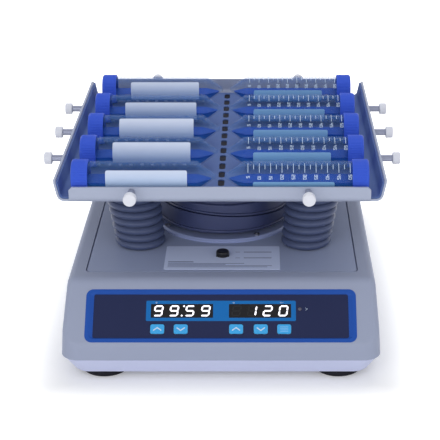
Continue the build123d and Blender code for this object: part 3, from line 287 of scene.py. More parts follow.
def start_material(name: str) -> tuple[bpy.types.Material, bpy.types.NodeTree | None, bpy.types.Node | None]:
    """Get a material by name, or make it.

    Args:
        name: name of the material.

    Returns:
        The material, its tree and its shader; the last two are None where it was there before.
    """
    known = bpy.data.materials.get(name)
    if known:
        return known, None, None
    material = bpy.data.materials.new(name)
    material.use_nodes = True
    return material, material.node_tree, material.node_tree.nodes["Principled BSDF"]


@dataclass(frozen=True)
class Finish:
    """A solid finish: colour with drift, roughness with grain, and a little dust.

    Attributes:
        name: name of the material.
        colour: linear base colour.
        roughness: mean roughness.
        metallic: 1 for bare metal.
        drift: how far the colour wanders.
        grain: scale of the surface grain, per metre.
        bump: depth of the grain in metres.
        dust: strength of the settled dust.
        brushed: True for drawn lines instead of grain.
        gloss: Specular IOR Level; 0.5 is plain plastic.
        coat: weight of a clear coat.
        sheen: weight of a soft sheen, for rubber.
    """

    name: str
    colour: Colour
    roughness: float = 0.45
    metallic: float = 0.0
    drift: float = 0.08
    grain: float = 900.0
    bump: float = 0.00003
    dust: float = 0.0
    brushed: bool = False
    gloss: float = 0.35
    coat: float = 0.0
    sheen: float = 0.0

    def make(self) -> bpy.types.Material:
        """Build the material once and return it."""
        material, tree, shader = start_material(self.name)
        if tree is None:
            return material
        material.diffuse_color = (*self.colour, 1.0)
        colour = place_group(tree, Group.MOTTLE, Color=(*self.colour, 1.0), Amount=self.drift)
        dust = place_group(tree, Group.DUST, Amount=self.dust)
        kind = Group.BRUSH if self.brushed else Group.GRAIN
        grain = place_group(tree, kind, Scale=self.grain, Roughness=self.roughness, Spread=0.12)
        bump = add(tree, "ShaderNodeBump", s_Strength=0.35, s_Distance=self.bump)
        tree.links.new(colour.outputs["Color"], dust.inputs["Color"])
        tree.links.new(dust.outputs["Color"], shader.inputs["Base Color"])
        tree.links.new(grain.outputs["Roughness"], shader.inputs["Roughness"])
        tree.links.new(grain.outputs["Height"], bump.inputs["Height"])
        tree.links.new(bump.outputs["Normal"], shader.inputs["Normal"])
        shader.inputs["Metallic"].default_value = self.metallic
        shader.inputs["Specular IOR Level"].default_value = self.gloss
        shader.inputs["Coat Weight"].default_value = self.coat
        shader.inputs["Coat Roughness"].default_value = 0.08
        shader.inputs["Sheen Weight"].default_value = self.sheen
        return material


@dataclass(frozen=True)
class Glow:
    """A lit mark: emission over a pale base with a slight unevenness."""

    name: str
    colour: Colour
    strength: float = 1.0

    def make(self) -> bpy.types.Material:
        """Build the material once and return it."""
        material, tree, shader = start_material(self.name)
        if tree is None:
            return material
        colour = place_group(tree, Group.MOTTLE, Color=(*self.colour, 1.0), Amount=0.06, Scale=300.0)
        tree.links.new(colour.outputs["Color"], shader.inputs["Base Color"])
        tree.links.new(colour.outputs["Color"], shader.inputs["Emission Color"])
        shader.inputs["Emission Strength"].default_value = self.strength
        shader.inputs["Roughness"].default_value = 0.4
        return material


@dataclass(frozen=True)
class ClearPlastic:
    """Thin clear moulding: see-through face on, milky at its edges.

    Attributes:
        name: name of the material.
        colour: tint of the plastic.
        face_on: opacity where it is seen square on.
        edge_on: opacity at grazing view.
        roughness: surface roughness.
        gloss: Specular IOR Level.
    """

    name: str
    colour: Colour
    face_on: float = 0.02
    edge_on: float = 0.34
    roughness: float = 0.16
    gloss: float = 0.3

    def make(self) -> bpy.types.Material:
        """Build the material once and return it."""
        material, tree, shader = start_material(self.name)
        if tree is None:
            return material
        colour = place_group(tree, Group.MOTTLE, Color=(*self.colour, 1.0), Amount=0.06, Scale=60.0)
        grain = place_group(tree, Group.GRAIN, Scale=500.0, Roughness=self.roughness, Spread=0.08)
        tree.links.new(colour.outputs["Color"], shader.inputs["Base Color"])
        tree.links.new(grain.outputs["Roughness"], shader.inputs["Roughness"])
        shader.inputs["Specular IOR Level"].default_value = self.gloss
        rim = add(tree, "ShaderNodeLayerWeight", s_Blend=0.45)
        ramp = add(tree, "ShaderNodeMapRange")
        ramp.inputs["To Min"].default_value = self.face_on
        ramp.inputs["To Max"].default_value = self.edge_on
        tree.links.new(rim.outputs["Facing"], ramp.inputs["Value"])
        tree.links.new(ramp.outputs["Result"], shader.inputs["Alpha"])
        return material


@dataclass(frozen=True)
class HeightTint:
    """Translucent paint or liquid whose colour changes evenly with height, as painted light and shade from
    its top to its bottom.

    Attributes:
        name: name of the material.
        low: colour at the low height.
        high: colour at the high height.
        low_z: height of the low colour, in metres.
        high_z: height of the high colour, in metres.
        roughness: surface roughness.
        alpha: opacity.
        gloss: Specular IOR Level.
    """

    name: str
    low: Colour
    high: Colour
    low_z: float
    high_z: float
    roughness: float = 0.35
    alpha: float = 1.0
    gloss: float = 0.12

    def make(self) -> bpy.types.Material:
        """Build the material once and return it."""
        material, tree, shader = start_material(self.name)
        if tree is None:
            return material
        place = add(tree, "ShaderNodeSeparateXYZ")
        tree.links.new(add(tree, "ShaderNodeTexCoord").outputs["Object"], place.inputs[0])
        share = add(tree, "ShaderNodeMapRange")
        share.inputs["From Min"].default_value = self.low_z
        share.inputs["From Max"].default_value = self.high_z
        tree.links.new(place.outputs["Z"], share.inputs["Value"])
        mix = add(tree, "ShaderNodeMix", data_type="RGBA")
        mix.inputs["A"].default_value = (*self.low, 1.0)
        mix.inputs["B"].default_value = (*self.high, 1.0)
        tree.links.new(share.outputs["Result"], mix.inputs["Factor"])
        colour = place_group(tree, Group.MOTTLE, Amount=0.05, Scale=80.0)
        tree.links.new(mix.outputs["Result"], colour.inputs["Color"])
        tree.links.new(colour.outputs["Color"], shader.inputs["Base Color"])
        grain = place_group(tree, Group.GRAIN, Scale=700.0, Roughness=self.roughness, Spread=0.06)
        tree.links.new(grain.outputs["Roughness"], shader.inputs["Roughness"])
        shader.inputs["Alpha"].default_value = self.alpha
        shader.inputs["Specular IOR Level"].default_value = self.gloss
        return material


HOUSING_PAINT = Finish(
    "dressed_housing_paint", tint(158, 166, 190), 0.5, drift=0.04, grain=1400.0, dust=0.02, gloss=0.15
)
DECK_PAINT = Finish(
    "dressed_deck_paint", tint(156, 166, 194), 0.5, drift=0.04, grain=1400.0, dust=0.02, gloss=0.15
)
PAN_PLASTIC = Finish("dressed_pan_plastic", tint(206, 212, 242), 0.42, drift=0.03, grain=1000.0, gloss=0.3)
FOOT_RUBBER = Finish("foot_rubber", tint(24, 24, 32), 0.65, drift=0.2, grain=1500.0, gloss=0.2)
BELLOWS_RUBBER = Finish(
    "dressed_bellows_rubber", tint(78, 88, 120), 0.42, drift=0.12, grain=1600.0, dust=0.03, gloss=0.25
)
DRUM_PAINT = Finish("drum_paint", tint(66, 74, 112), 0.38, drift=0.06, grain=1200.0, dust=0.03, gloss=0.35)
FLANGE_PAINT = Finish("flange_paint", tint(158, 170, 212), 0.4, metallic=0.1, drift=0.06, grain=1000.0)
SHEET_METAL = Finish(
    "tray_sheet", tint(164, 172, 194), 0.42, metallic=0.1, drift=0.04, grain=260.0, brushed=True
)
DARK_MAT = Finish("dressed_mat_rubber", tint(96, 118, 172), 0.65, drift=0.08, grain=1100.0, gloss=0.08)
BLUE_BEZEL = Finish("dressed_bezel_blue", tint(38, 84, 172), 0.42, drift=0.04, grain=600.0, gloss=0.12)
NAVY_FILM = Finish("panel_film", tint(38, 45, 80), 0.45, drift=0.05, grain=1200.0, gloss=0.12)
DISPLAY_BLUE = Finish("display_print", tint(28, 112, 186), 0.45, drift=0.06, grain=800.0, gloss=0.12)
WINDOW_BLACK = Finish("dressed_window_black", tint(12, 11, 16), 0.25, drift=0.1, grain=300.0, gloss=0.25)
KEY_BLUE = Finish("dressed_key_blue", tint(66, 172, 236), 0.42, drift=0.04, grain=900.0, gloss=0.25)
KNOB_BLACK = Finish("knob_black", tint(12, 12, 18), 0.35, drift=0.2, grain=900.0, gloss=0.4)
PEG_WHITE = Finish("peg_white", tint(226, 228, 238), 0.4, drift=0.03, grain=700.0)
STEEL = Finish("bright_steel", tint(176, 178, 190), 0.28, metallic=1.0, drift=0.08, grain=420.0, brushed=True)
SHADE_STEEL = Finish(
    "peg_steel", tint(140, 144, 164), 0.35, metallic=0.5, drift=0.08, grain=420.0, brushed=True
)
ALUMINIUM = Finish(
    "turned_aluminium", tint(168, 170, 180), 0.34, metallic=1.0, drift=0.06, grain=380.0, brushed=True
)
BOARD_GREEN = Finish("circuit_board", tint(22, 84, 52), 0.4, drift=0.25, grain=300.0)
BLACK_MOULDING = Finish("black_moulding", tint(24, 24, 28), 0.45, drift=0.15, grain=1000.0)
BELT_RUBBER = Finish("belt_rubber", tint(28, 28, 32), 0.6, drift=0.15, grain=800.0)
CAP_BLUE = Finish("dressed_cap_blue", tint(60, 94, 212), 0.45, drift=0.04, grain=900.0, gloss=0.12)
LABEL_SILVER = Finish("label_silver", tint(208, 218, 244), 0.45, drift=0.03, grain=900.0, gloss=0.25)
INK = Finish("label_ink", tint(96, 104, 138), 0.6, drift=0.1, grain=1500.0)
MARK_WHITE = Finish("mark_white", tint(206, 226, 248), 0.45, drift=0.03, grain=900.0)
MARK_PALE = Finish("mark_pale", tint(150, 205, 250), 0.45, drift=0.03, grain=900.0)
# Painted shade: dark colour of the sheets laid in the mat's slots, where the slots are in shadow.
SLOT_SHADE = Finish("slot_painted_shade", tint(22, 24, 40), 0.7, drift=0.15, grain=800.0, gloss=0.15)
LAMP_DIM = Finish("lamp_dim", tint(86, 84, 104), 0.25, drift=0.1, grain=500.0)
UNLIT_SEGMENT = Finish("segment_unlit", tint(34, 34, 36), 0.4, drift=0.1, grain=600.0, gloss=0.2)
LIT_SEGMENT = Glow("segment_lit", tint(250, 248, 255), 1.0)
TUBE_PLASTIC = ClearPlastic("tube_plastic", tint(92, 140, 208))

NODE_FINISHES: dict[str, Finish] = {
    "base_pan": PAN_PLASTIC, "rubber_feet": FOOT_RUBBER, "base_screws": STEEL, "housing": HOUSING_PAINT,
    "deck_plate": DECK_PAINT, "clamp_flange": FLANGE_PAINT, "knob_bush": STEEL, "panel_bezel": BLUE_BEZEL,
    "panel_overlay": NAVY_FILM, "display_windows": WINDOW_BLACK, "control_board": BOARD_GREEN,
    "centre_post": STEEL, "post_yoke": STEEL, "main_bearings": STEEL, "drive_belt": BELT_RUBBER,
    "motor": BLACK_MOULDING, "motor_bracket": STEEL, "power_supply": ALUMINIUM,
    "mains_inlet": BLACK_MOULDING, "switch_frame": BLACK_MOULDING, "bellows": BELLOWS_RUBBER,
    "hollow_shaft": STEEL, "driven_pulley": ALUMINIUM, "lower_wedge_disc": DRUM_PAINT,
    "upper_wedge_disc": DRUM_PAINT, "motor_pulley": STEEL, "gimbal_cross": STEEL, "hub_yoke": ALUMINIUM,
    "hub_screws": STEEL, "tray": SHEET_METAL, "tray_mat": DARK_MAT, "peg_posts": SHADE_STEEL,
    "peg_heads": PEG_WHITE, "angle_knob": KNOB_BLACK, "power_rocker": BLACK_MOULDING,
}


# ---------------------------------------------------------------- mesh building
def grid_quads(index: np.ndarray) -> np.ndarray:
    """Four-sided faces between the neighbours of a grid of vertex numbers."""
    corners = [index[:-1, :-1], index[:-1, 1:], index[1:, 1:], index[1:, :-1]]
    return np.stack(corners, axis=-1).reshape(-1, 4)


@dataclass
class Shape:
    """Vertices and faces gathered from several surfaces, in metres.

    Attributes:
        verts: one array of points per surface.
        faces: vertex numbers of every face.
        slots: material number of every face.
        count: how many vertices there are.
    """

    verts: list[np.ndarray] = field(default_factory=list)
    faces: list[list[int]] = field(default_factory=list)
    slots: list[int] = field(default_factory=list)
    count: int = 0

    def grid(self, points: np.ndarray, wrap: bool = True, cap: bool = True, slot: int = 0) -> "Shape":
        """Add a grid of points as quads.

        Ring i of the grid is joined to ring i + 1; with wrap, the last point of
        each ring meets the first, and with cap both end rings are filled.
        The surface is turned outwards by the sign of its volume.

        Args:
            points: array of rings by points by 3.
            wrap: True where each ring is closed.
            cap: True to close both end rings with one face each.
            slot: material number of these faces.

        Returns:
            The shape itself.
        """
        rings, around, _ = points.shape
        index = np.arange(rings * around).reshape(rings, around)
        if wrap:
            index = np.hstack([index, index[:, :1]])
        faces = grid_quads(index).tolist()
        if cap:
            faces.append(list(range(around))[::-1])
            faces.append((np.arange(around) + (rings - 1) * around).tolist())
        flat = points.reshape(-1, 3)
        closed = cap and wrap
        self._take(flat, outward(flat, faces) if closed else faces, slot)
        return self

    def prism(self, outline: np.ndarray, bottom: Callable[[np.ndarray], np.ndarray],
              top: Callable[[np.ndarray], np.ndarray], slot: int = 0) -> "Shape":
        """Add a flat piece: an outline carried to a bottom and a top surface.

        Args:
            outline: array of points by 2, closed and without a repeat.
            bottom: maps the outline to its lower surface, points by 3.
            top: maps the outline to its upper surface, points by 3.
            slot: material number of these faces.

        Returns:
            The shape itself.
        """
        return self.grid(np.stack([bottom(outline), top(outline)]), slot=slot)

    def sheet(self, low: np.ndarray, high: np.ndarray, slot: int = 0) -> "Shape":
        """Add a closed shell between two equal grids, joined along their borders.

        Args:
            low: inner grid, rows by columns by 3.
            high: outer grid of the same shape.
            slot: material number of these faces.

        Returns:
            The shape itself.
        """
        rows, cols, _ = low.shape
        index = np.arange(rows * cols).reshape(rows, cols)
        quads = grid_quads(index)
        above = quads + rows * cols
        border = np.concatenate([index[0, :-1], index[:-1, -1], index[-1, :0:-1], index[:0:-1, 0]])
        after = np.roll(border, -1)
        rim = np.stack([border, after, after + rows * cols, border + rows * cols], axis=-1)
        faces = quads[:, ::-1].tolist() + above.tolist() + rim.tolist()
        flat = np.concatenate([low.reshape(-1, 3), high.reshape(-1, 3)])
        self._take(flat, outward(flat, faces), slot)
        return self

    def turned(self, profile: np.ndarray, around: int, place: Callable[[np.ndarray], np.ndarray],
               ripple: Callable[[np.ndarray, np.ndarray, np.ndarray], np.ndarray] | None = None,
               slot: int = 0) -> "Shape":
        """Add a solid of revolution about +X whose profile starts and ends on the axis.

        A point of the surface is (x, r cos a, r sin a) for each profile point (x, r)
        and each angle a; ripple may change r along x and a.

        Args:
            profile: array of points by (x, r), the first and last with r = 0.
            around: number of steps round the axis.
            place: moves points by 3 into place.
            ripple: new radius from arrays of x and angle and the plain radius.
            slot: material number of these faces.

        Returns:
            The shape itself.
        """
        angle = np.linspace(0, 2 * np.pi, around, endpoint=False)
        x, r = profile[1:-1, 0][:, None], profile[1:-1, 1][:, None]
        radius = r + 0 * angle if ripple is None else ripple(x + 0 * angle, angle + 0 * x, r + 0 * angle)
        ring = np.stack([x + 0 * angle, radius * np.cos(angle), radius * np.sin(angle)], axis=-1)
        rings = ring.shape[0]
        index = np.arange(rings * around).reshape(rings, around)
        index = np.hstack([index, index[:, :1]])
        quads = grid_quads(index)
        start, end = rings * around, rings * around + 1
        fan_a = np.stack([np.full(around, start), index[0, 1:], index[0, :-1]], axis=-1)
        fan_b = np.stack([np.full(around, end), index[-1, :-1], index[-1, 1:]], axis=-1)
        poles = np.array([[profile[0, 0], 0, 0], [profile[-1, 0], 0, 0]])
        flat = np.concatenate([ring.reshape(-1, 3), poles])
        faces = quads.tolist() + fan_a.tolist() + fan_b.tolist()
        self._take(place(flat), outward(flat, faces), slot)
        return self

    def _take(self, points: np.ndarray, faces: list[list[int]], slot: int) -> None:
        """Store points and faces, moving the vertex numbers up."""
        self.verts.append(np.asarray(points, float))
        self.faces.extend([[i + self.count for i in face] for face in faces])
        self.slots.extend([slot] * len(faces))
        self.count += len(points)

    def build(self, name: str, finishes: Sequence[object], sharp: float = 35.0) -> bpy.types.Object:
        """Make the Blender object.

        Args:
            name: name of the piece.
            finishes: finishes in the order of their numbers.
            sharp: edges above this angle, in degrees, stay crisp.

        Returns:
            The object, at the origin.
        """
        mesh = bpy.data.meshes.new(name)
        mesh.from_pydata(np.concatenate(self.verts).tolist(), [], self.faces)
        mesh.polygons.foreach_set("material_index", np.array(self.slots, np.int32))
        mesh.polygons.foreach_set("use_smooth", np.ones(len(self.faces), bool))
        mesh.set_sharp_from_angle(angle=math.radians(sharp))
        mesh.update()
        for finish in finishes:
            mesh.materials.append(finish.make())
        piece = bpy.data.objects.new(name, mesh)
        bpy.context.scene.collection.objects.link(piece)
        return piece


def enclosed_volume(points: np.ndarray, faces: list[list[int]]) -> float:
    """Signed volume of a closed surface: the sum over face fans of a . (b x c) / 6."""
    centre = points.mean(axis=0)
    total = 0.0
    by_size: dict[int, list[list[int]]] = {}
    for face in faces:
        by_size.setdefault(len(face), []).append(face)
    for size, group in by_size.items():
        corners = points[np.array(group)] - centre
        for i in range(1, size - 1):
            a, b, c = corners[:, 0], corners[:, i], corners[:, i + 1]
            total += float(np.einsum("ij,ij->", a, np.cross(b, c)))
    return total / 6


def outward(points: np.ndarray, faces: list[list[int]]) -> list[list[int]]:
    """Faces of a closed surface, turned so that they point outwards."""
    if enclosed_volume(points, faces) < 0:
        return [face[::-1] for face in faces]
    return faces


def rounded_outline(width: float, height: float, corner: float, steps: int = 6) -> np.ndarray:
    """Outline of a rounded rectangle: four quarter arcs joined by its straight sides.

    Args:
        width: full size along the first axis.
        height: full size along the second axis.
        corner: radius of the corners.
        steps: points in each quarter arc, less one.

    Returns:
        Array of points by 2, anticlockwise.
    """
    quarter = np.linspace(0, np.pi / 2, steps + 1)
    turns = np.concatenate([quarter + k * np.pi / 2 for k in range(4)])
    sign_x = np.repeat([1, -1, -1, 1], steps + 1)
    sign_y = np.repeat([1, 1, -1, -1], steps + 1)
    x = sign_x * (width / 2 - corner) + corner * np.cos(turns)
    y = sign_y * (height / 2 - corner) + corner * np.sin(turns)
    return np.stack([x, y], axis=-1)


def stroke(path: np.ndarray, width: float) -> np.ndarray:
    """Outline of a line of even width along a path, with mitred joints.

    Args:
        path: array of points by 2, open.
        width: width of the line.

    Returns:
        Array of points by 2 round the line.
    """
    step = np.diff(path, axis=0)
    step /= np.linalg.norm(step, axis=1)[:, None]
    side = np.stack([-step[:, 1], step[:, 0]], axis=-1)
    before = np.vstack([side[:1], side])
    after = np.vstack([side, side[-1:]])
    mitre = before + after
    mitre /= np.sum(mitre * before, axis=1)[:, None]
    return np.vstack([path + mitre * width / 2, (path - mitre * width / 2)[::-1]])


def circle_outline(radius: float, steps: int = 24) -> np.ndarray:
    """Points evenly round a circle."""
    angle = np.linspace(0, 2 * np.pi, steps, endpoint=False)
    return radius * np.stack([np.cos(angle), np.sin(angle)], axis=-1)


def lay_flat(origin: Sequence[float], across: Sequence[float], up: Sequence[float],
             height: float) -> Callable[[np.ndarray], np.ndarray]:
    """Map of drawing points onto a flat place.

    Args:
        origin: the place of the drawing's zero.
        across: unit vector of the drawing's first axis.
        up: unit vector of the drawing's second axis.
        height: distance above the place, along across x up.

    Returns:
        Function from points by 2 to points by 3.
    """
    o, a, u = (np.array(v, float) for v in (origin, across, up))
    n = np.cross(a, u)
    return lambda p: o + p[:, :1] * a + p[:, 1:2] * u + n * height


def ride(piece: bpy.types.Object, body: str) -> bpy.types.Object:
    """Let a piece move with a body and report it."""
    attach(piece, body)
    LOG.info("piece %s rides on %s", piece.name, body)
    return piece


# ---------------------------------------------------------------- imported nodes
def dress_nodes(nodes: dict[str, bpy.types.Object]) -> None:
    """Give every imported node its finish, in all of its material slots.

    Args:
        nodes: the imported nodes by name.
    """
    for name, node in nodes.items():
        finish = NODE_FINISHES.get(name)
        if finish is None and name.startswith("key_"):
            finish = KEY_BLUE
        if finish is None and name.startswith("cap_"):
            finish = CAP_BLUE
        if finish is None and name.startswith("tube_"):
            finish = TUBE_PLASTIC
        if finish is None:
            LOG.warning("node %s has no finish", name)
            continue
        material = finish.make()
        if not node.data.materials:
            node.data.materials.append(material)
        for index in range(len(node.data.materials)):
            node.data.materials[index] = material
        LOG.info("node %s wears %s", name, finish.name)


# ---------------------------------------------------------------- control panel
class Segment(Enum):
    """The seven strokes of a digit: start and end corner on a 1 by 2 lattice."""

    TOP = ((0, 2), (1, 2))
    UPPER_RIGHT = ((1, 2), (1, 1))
    LOWER_RIGHT = ((1, 1), (1, 0))
    BOTTOM = ((0, 0), (1, 0))
    LOWER_LEFT = ((0, 1), (0, 0))
    UPPER_LEFT = ((0, 2), (0, 1))
    MIDDLE = ((0, 1), (1, 1))


DIGITS: dict[str, tuple[Segment, ...]] = {
    "0": (Segment.TOP, Segment.UPPER_RIGHT, Segment.LOWER_RIGHT, Segment.BOTTOM, Segment.LOWER_LEFT,
          Segment.UPPER_LEFT),
    "1": (Segment.UPPER_RIGHT, Segment.LOWER_RIGHT),
    "2": (Segment.TOP, Segment.UPPER_RIGHT, Segment.MIDDLE, Segment.LOWER_LEFT, Segment.BOTTOM),
    "5": (Segment.TOP, Segment.UPPER_LEFT, Segment.MIDDLE, Segment.LOWER_RIGHT, Segment.BOTTOM),
    "9": (Segment.TOP, Segment.UPPER_LEFT, Segment.UPPER_RIGHT, Segment.MIDDLE, Segment.LOWER_RIGHT,
          Segment.BOTTOM),
    " ": (),
}


@dataclass
class SlopedFront:
    """The sloped face that carries the panel.

    Attributes:
        crease_y: line where the deck turns down.
        deck_z: height of the deck.
        angle: slope from the horizontal, in degrees.
        recess: depth of the panel's recess.
    """

    crease_y: float = -137.0 * MM
    deck_z: float = DECK_Z
    angle: float = 43.9
    recess: float = 2.2 * MM

    def place(self, x: float, drop: float, height: float) -> Callable[[np.ndarray], np.ndarray]:
        """Map of a drawing onto the slope, at a height above the recess floor.

        Args:
            x: where the drawing's zero lies across the panel.
            drop: distance of that zero down the slope from the crease.
            height: height above the recess floor.

        Returns:
            Function from points by 2 to points by 3; +x right and +y up the slope.
        """
        turn = math.radians(self.angle)
        up = np.array([0.0, math.cos(turn), math.sin(turn)])
        across = np.array([1.0, 0.0, 0.0])
        origin = np.array([0.0, self.crease_y, self.deck_z]) + across * x - up * drop
        return lay_flat(origin, across, up, height - self.recess)


@dataclass
class Display:
    """Lit seven-segment display behind the two windows.

    Attributes:
        width: width of a digit, without its slant.
        height: height of a digit.
        stroke: width of a segment.
        slant: lean of the digits to the right, as a slope.
        gap: half of the gap between two segments.
    """

    width: float = 6.2 * MM
    height: float = 8.2 * MM
    stroke: float = 1.35 * MM
    slant: float = 0.16
    gap: float = 0.12 * MM

    def segment(self, part: Segment) -> np.ndarray:
        """Outline of one segment: a bar with pointed ends, leaned by the slant.

        The bar's six corners are its two tips and, half a stroke in from each
        tip, a corner on either side; x is then moved by slant times y.
        """
        cell = np.array([self.width, self.height / 2])
        start, end = (np.array(p) * cell for p in part.value)
        along = (end - start) / np.linalg.norm(end - start)
        side = np.array([-along[1], along[0]]) * self.stroke / 2
        tip = self.gap
        near = start + along * tip
        far = end - along * tip
        inner_near = near + along * self.stroke / 2
        inner_far = far - along * self.stroke / 2
        outline = np.array([
            near, inner_near - side, inner_far - side, far, inner_far + side, inner_near + side,
        ])
        outline[:, 0] += self.slant * outline[:, 1]
        return outline

    def draw(self, shape: Shape, text: str, starts: Sequence[float], left: float, base: float,
             face: SlopedFront, height: float, unlit: int) -> None:
        """Draw a row of digits: lit segments in slot 0 and the unlit ones in slot 1.

        Args:
            shape: shape that takes the segments.
            text: the digits to light.
            starts: distance of each digit from the window's left end.
            left: place of the window's left end.
            base: drop of the digits' foot line.
            face: the sloped front.
            height: height of the segments' top face.
            unlit: 1 to draw unlit segments as well.
        """
        for digit, start in zip(text, starts):
            for part in Segment:
                lit = part in DIGITS[digit]
                if not lit and not unlit:
                    continue
                low = face.place(left + start, base, height - 0.03 * MM)
                high = face.place(left + start, base, height)
                shape.prism(self.segment(part), low, high, slot=0 if lit else 1)


@dataclass
class ControlPanel:
    """Printed film, windows, digits, key symbols and lamp of the sloped front.

    Attributes:
        frame_half: half width of the blue print round the windows.
        frame_drops: upper and lower edge of that print.
        window_size: width and height of a window.
        window_x: place of each window either side of the middle.
        window_drop: drop of the windows' middle line.
        key_xs: places of the keys.
        key_drop: drop of the keys' middle line.
        lamp_x: place of the run lamp.
        lamp_drop: drop of the run lamp.
        film: height of the film's face above the recess floor.
        key_top: height of the keys' faces above the recess floor.
        slope: the sloped face itself.
        display: size and lean of the digits.
    """

    frame_half: float = 61.4 * MM
    frame_drops: tuple[float, float] = (19.3 * MM, 37.0 * MM)
    window_size: tuple[float, float] = (51.0 * MM, 12.0 * MM)
    window_x: float = 32.0 * MM
    window_drop: float = 28.2 * MM
    key_xs: tuple[float, ...] = (-51.8 * MM, -32.7 * MM, 12.5 * MM, 32.6 * MM, 51.7 * MM)
    key_drop: float = 44.1 * MM
    lamp_x: float = 64.6 * MM
    lamp_drop: float = 26.6 * MM
    film: float = 1.0 * MM
    key_top: float = 1.5 * MM
    slope: SlopedFront = field(default_factory=SlopedFront)
    display: Display = field(default_factory=Display)

    def build(self) -> None:
        """Build and dress every piece of the panel."""
        self.build_frame()
        self.build_windows()
        self.build_digits()
        self.build_key_marks()
        self.build_lamp()
        self.build_pictograms()

    def plate(self, shape: Shape, size: tuple[float, float], x: float, drop: float, low: float, high: float,
              corner: float = 0.6 * MM) -> None:
        """Add a rounded plate to a shape, between two heights above the recess floor."""
        outline = rounded_outline(*size, corner)
        shape.prism(outline, self.slope.place(x, drop, low), self.slope.place(x, drop, high))

    def build_frame(self) -> None:
        """Blue print that surrounds both windows."""
        upper, lower = self.frame_drops
        shape = Shape()
        self.plate(shape, (2 * self.frame_half, lower - upper), 0.0, (upper + lower) / 2, self.film,
                   self.film + 0.05 * MM, 1.2 * MM)
        ride(shape.build("display_print", [DISPLAY_BLUE]), "base")

    def build_windows(self) -> None:
        """Dark lenses of the two displays, a hair proud of the print."""
        shape = Shape()
        top = self.film + 0.09 * MM
        for x in (-self.window_x, self.window_x):
            self.plate(shape, self.window_size, x, self.window_drop, self.film, top, 0.4 * MM)
        ride(shape.build("window_lenses", [WINDOW_BLACK]), "base")

    def build_digits(self) -> None:
        """Time on the left and speed on the right, in lit segments."""
        shape = Shape()
        top = self.film + 0.14 * MM
        foot = self.window_drop + self.display.height / 2
        left = -self.window_x - self.window_size[0] / 2
        right = self.window_x - self.window_size[0] / 2
        lead = self.display.stroke / 2
        starts = [s * MM + lead for s in (1.8, 14.6, 27.6, 40.4)]
        self.display.draw(shape, "9959", starts, left, foot, self.slope, top, 1)
        starts = [s * MM + lead for s in (1.8, 14.6, 27.4, 40.2)]
        self.display.draw(shape, " 120", starts, right, foot, self.slope, top, 1)
        dot = circle_outline(0.75 * MM)
        for x, drop in ((25.4 * MM, foot), (27.2 * MM, self.window_drop - self.display.height / 2)):
            low, high = (self.slope.place(left + x, drop, level) for level in (self.film, top))
            shape.prism(dot, low, high)
        ride(shape.build("display_digits", [LIT_SEGMENT, UNLIT_SEGMENT]), "base")

    def build_key_marks(self) -> None:
        """White chevrons on four keys and faint lines on the fifth."""
        rise, half = 2.4 * MM, 3.3 * MM
        for number, x in enumerate(self.key_xs, start=1):
            shape = Shape()
            low = self.slope.place(x, self.key_drop, self.key_top)
            high = self.slope.place(x, self.key_drop, self.key_top + 0.05 * MM)
            if number < len(self.key_xs):
                sign = 1 if number % 2 else -1
                path = sign * np.array([[-half, -rise / 2], [0, rise / 2], [half, -rise / 2]])
                shape.prism(stroke(path, 0.95 * MM), low, high)
            else:
                for level in (-2.0, -0.7, 0.6, 1.9):
                    line = np.array([[-half, level * MM], [half, level * MM]])
                    shape.prism(stroke(line, 0.4 * MM), low, high)
            finish = MARK_WHITE if number < len(self.key_xs) else MARK_PALE
            ride(shape.build(f"key_mark_{number}", [finish]), f"key_{number}")

    def build_lamp(self) -> None:
        """Domed lens of the run lamp: a shallow cap whose height falls as the cosine."""
        share = np.linspace(0, np.pi / 2, 8)[:, None]
        angle = np.linspace(0, 2 * np.pi, 28, endpoint=False)[None, :]
        radius, rise = 1.5 * MM * np.sin(share) + 1e-5, 0.4 * MM * np.cos(share)
        flat = np.stack([radius * np.cos(angle), radius * np.sin(angle)], axis=-1)
        base = self.slope.place(self.lamp_x, self.lamp_drop, self.film + 0.3 * MM)
        normal = base(np.zeros((1, 2))) * 0 + np.array(
            [0.0, -math.sin(math.radians(self.slope.angle)), math.cos(math.radians(self.slope.angle))])
        points = base(flat.reshape(-1, 2)).reshape(*flat.shape[:2], 3)
        points = points + (rise + 0 * angle)[..., None] * normal
        ride(Shape().grid(points).build("run_lamp_dome", [LAMP_DIM]), "base")

    def build_pictograms(self) -> None:
        """Small generic symbols: a clock, a turning arrow, a ring and a pointer."""
        shape = Shape()
        high = self.film + 0.1 * MM
        line = 0.2 * MM

        def mark(x: float, drop: float, path: np.ndarray) -> None:
            """Add one drawn line."""
            low, top = (self.slope.place(x, drop, level) for level in (self.film, high))
            shape.prism(stroke(path, line), low, top)

        arc = np.linspace(0.1, 2 * np.pi - 0.1, 26)
        level = self.window_drop - self.window_size[1] / 2 - 1.2 * MM
        ring = 0.62 * MM * np.stack([np.sin(arc), np.cos(arc)], axis=-1)
        clock, turn, speed = -53.0 * MM, 10.5 * MM, 49.0 * MM
        mark(clock, level, ring)
        mark(clock, level, np.array([[0, 0.42], [0, 0], [0.3, -0.12]]) * MM)
        mark(turn, level, ring[:20])
        mark(turn, level, np.array([[-1.0, 0.05], [-0.57, 0.47], [-0.25, 0.0]]) * MM)
        mark(speed, level, 0.8 * ring)
        mark(speed + 1.8 * MM, level, np.array([[-0.6, -0.4], [0.5, 0.45]]) * MM)
        mark(70.0 * MM, self.lamp_drop, np.array([[-0.9, 1.1], [1.0, 0.0], [-0.9, -1.1]]) * MM)
        ride(shape.build("panel_symbols", [MARK_WHITE]), "base")


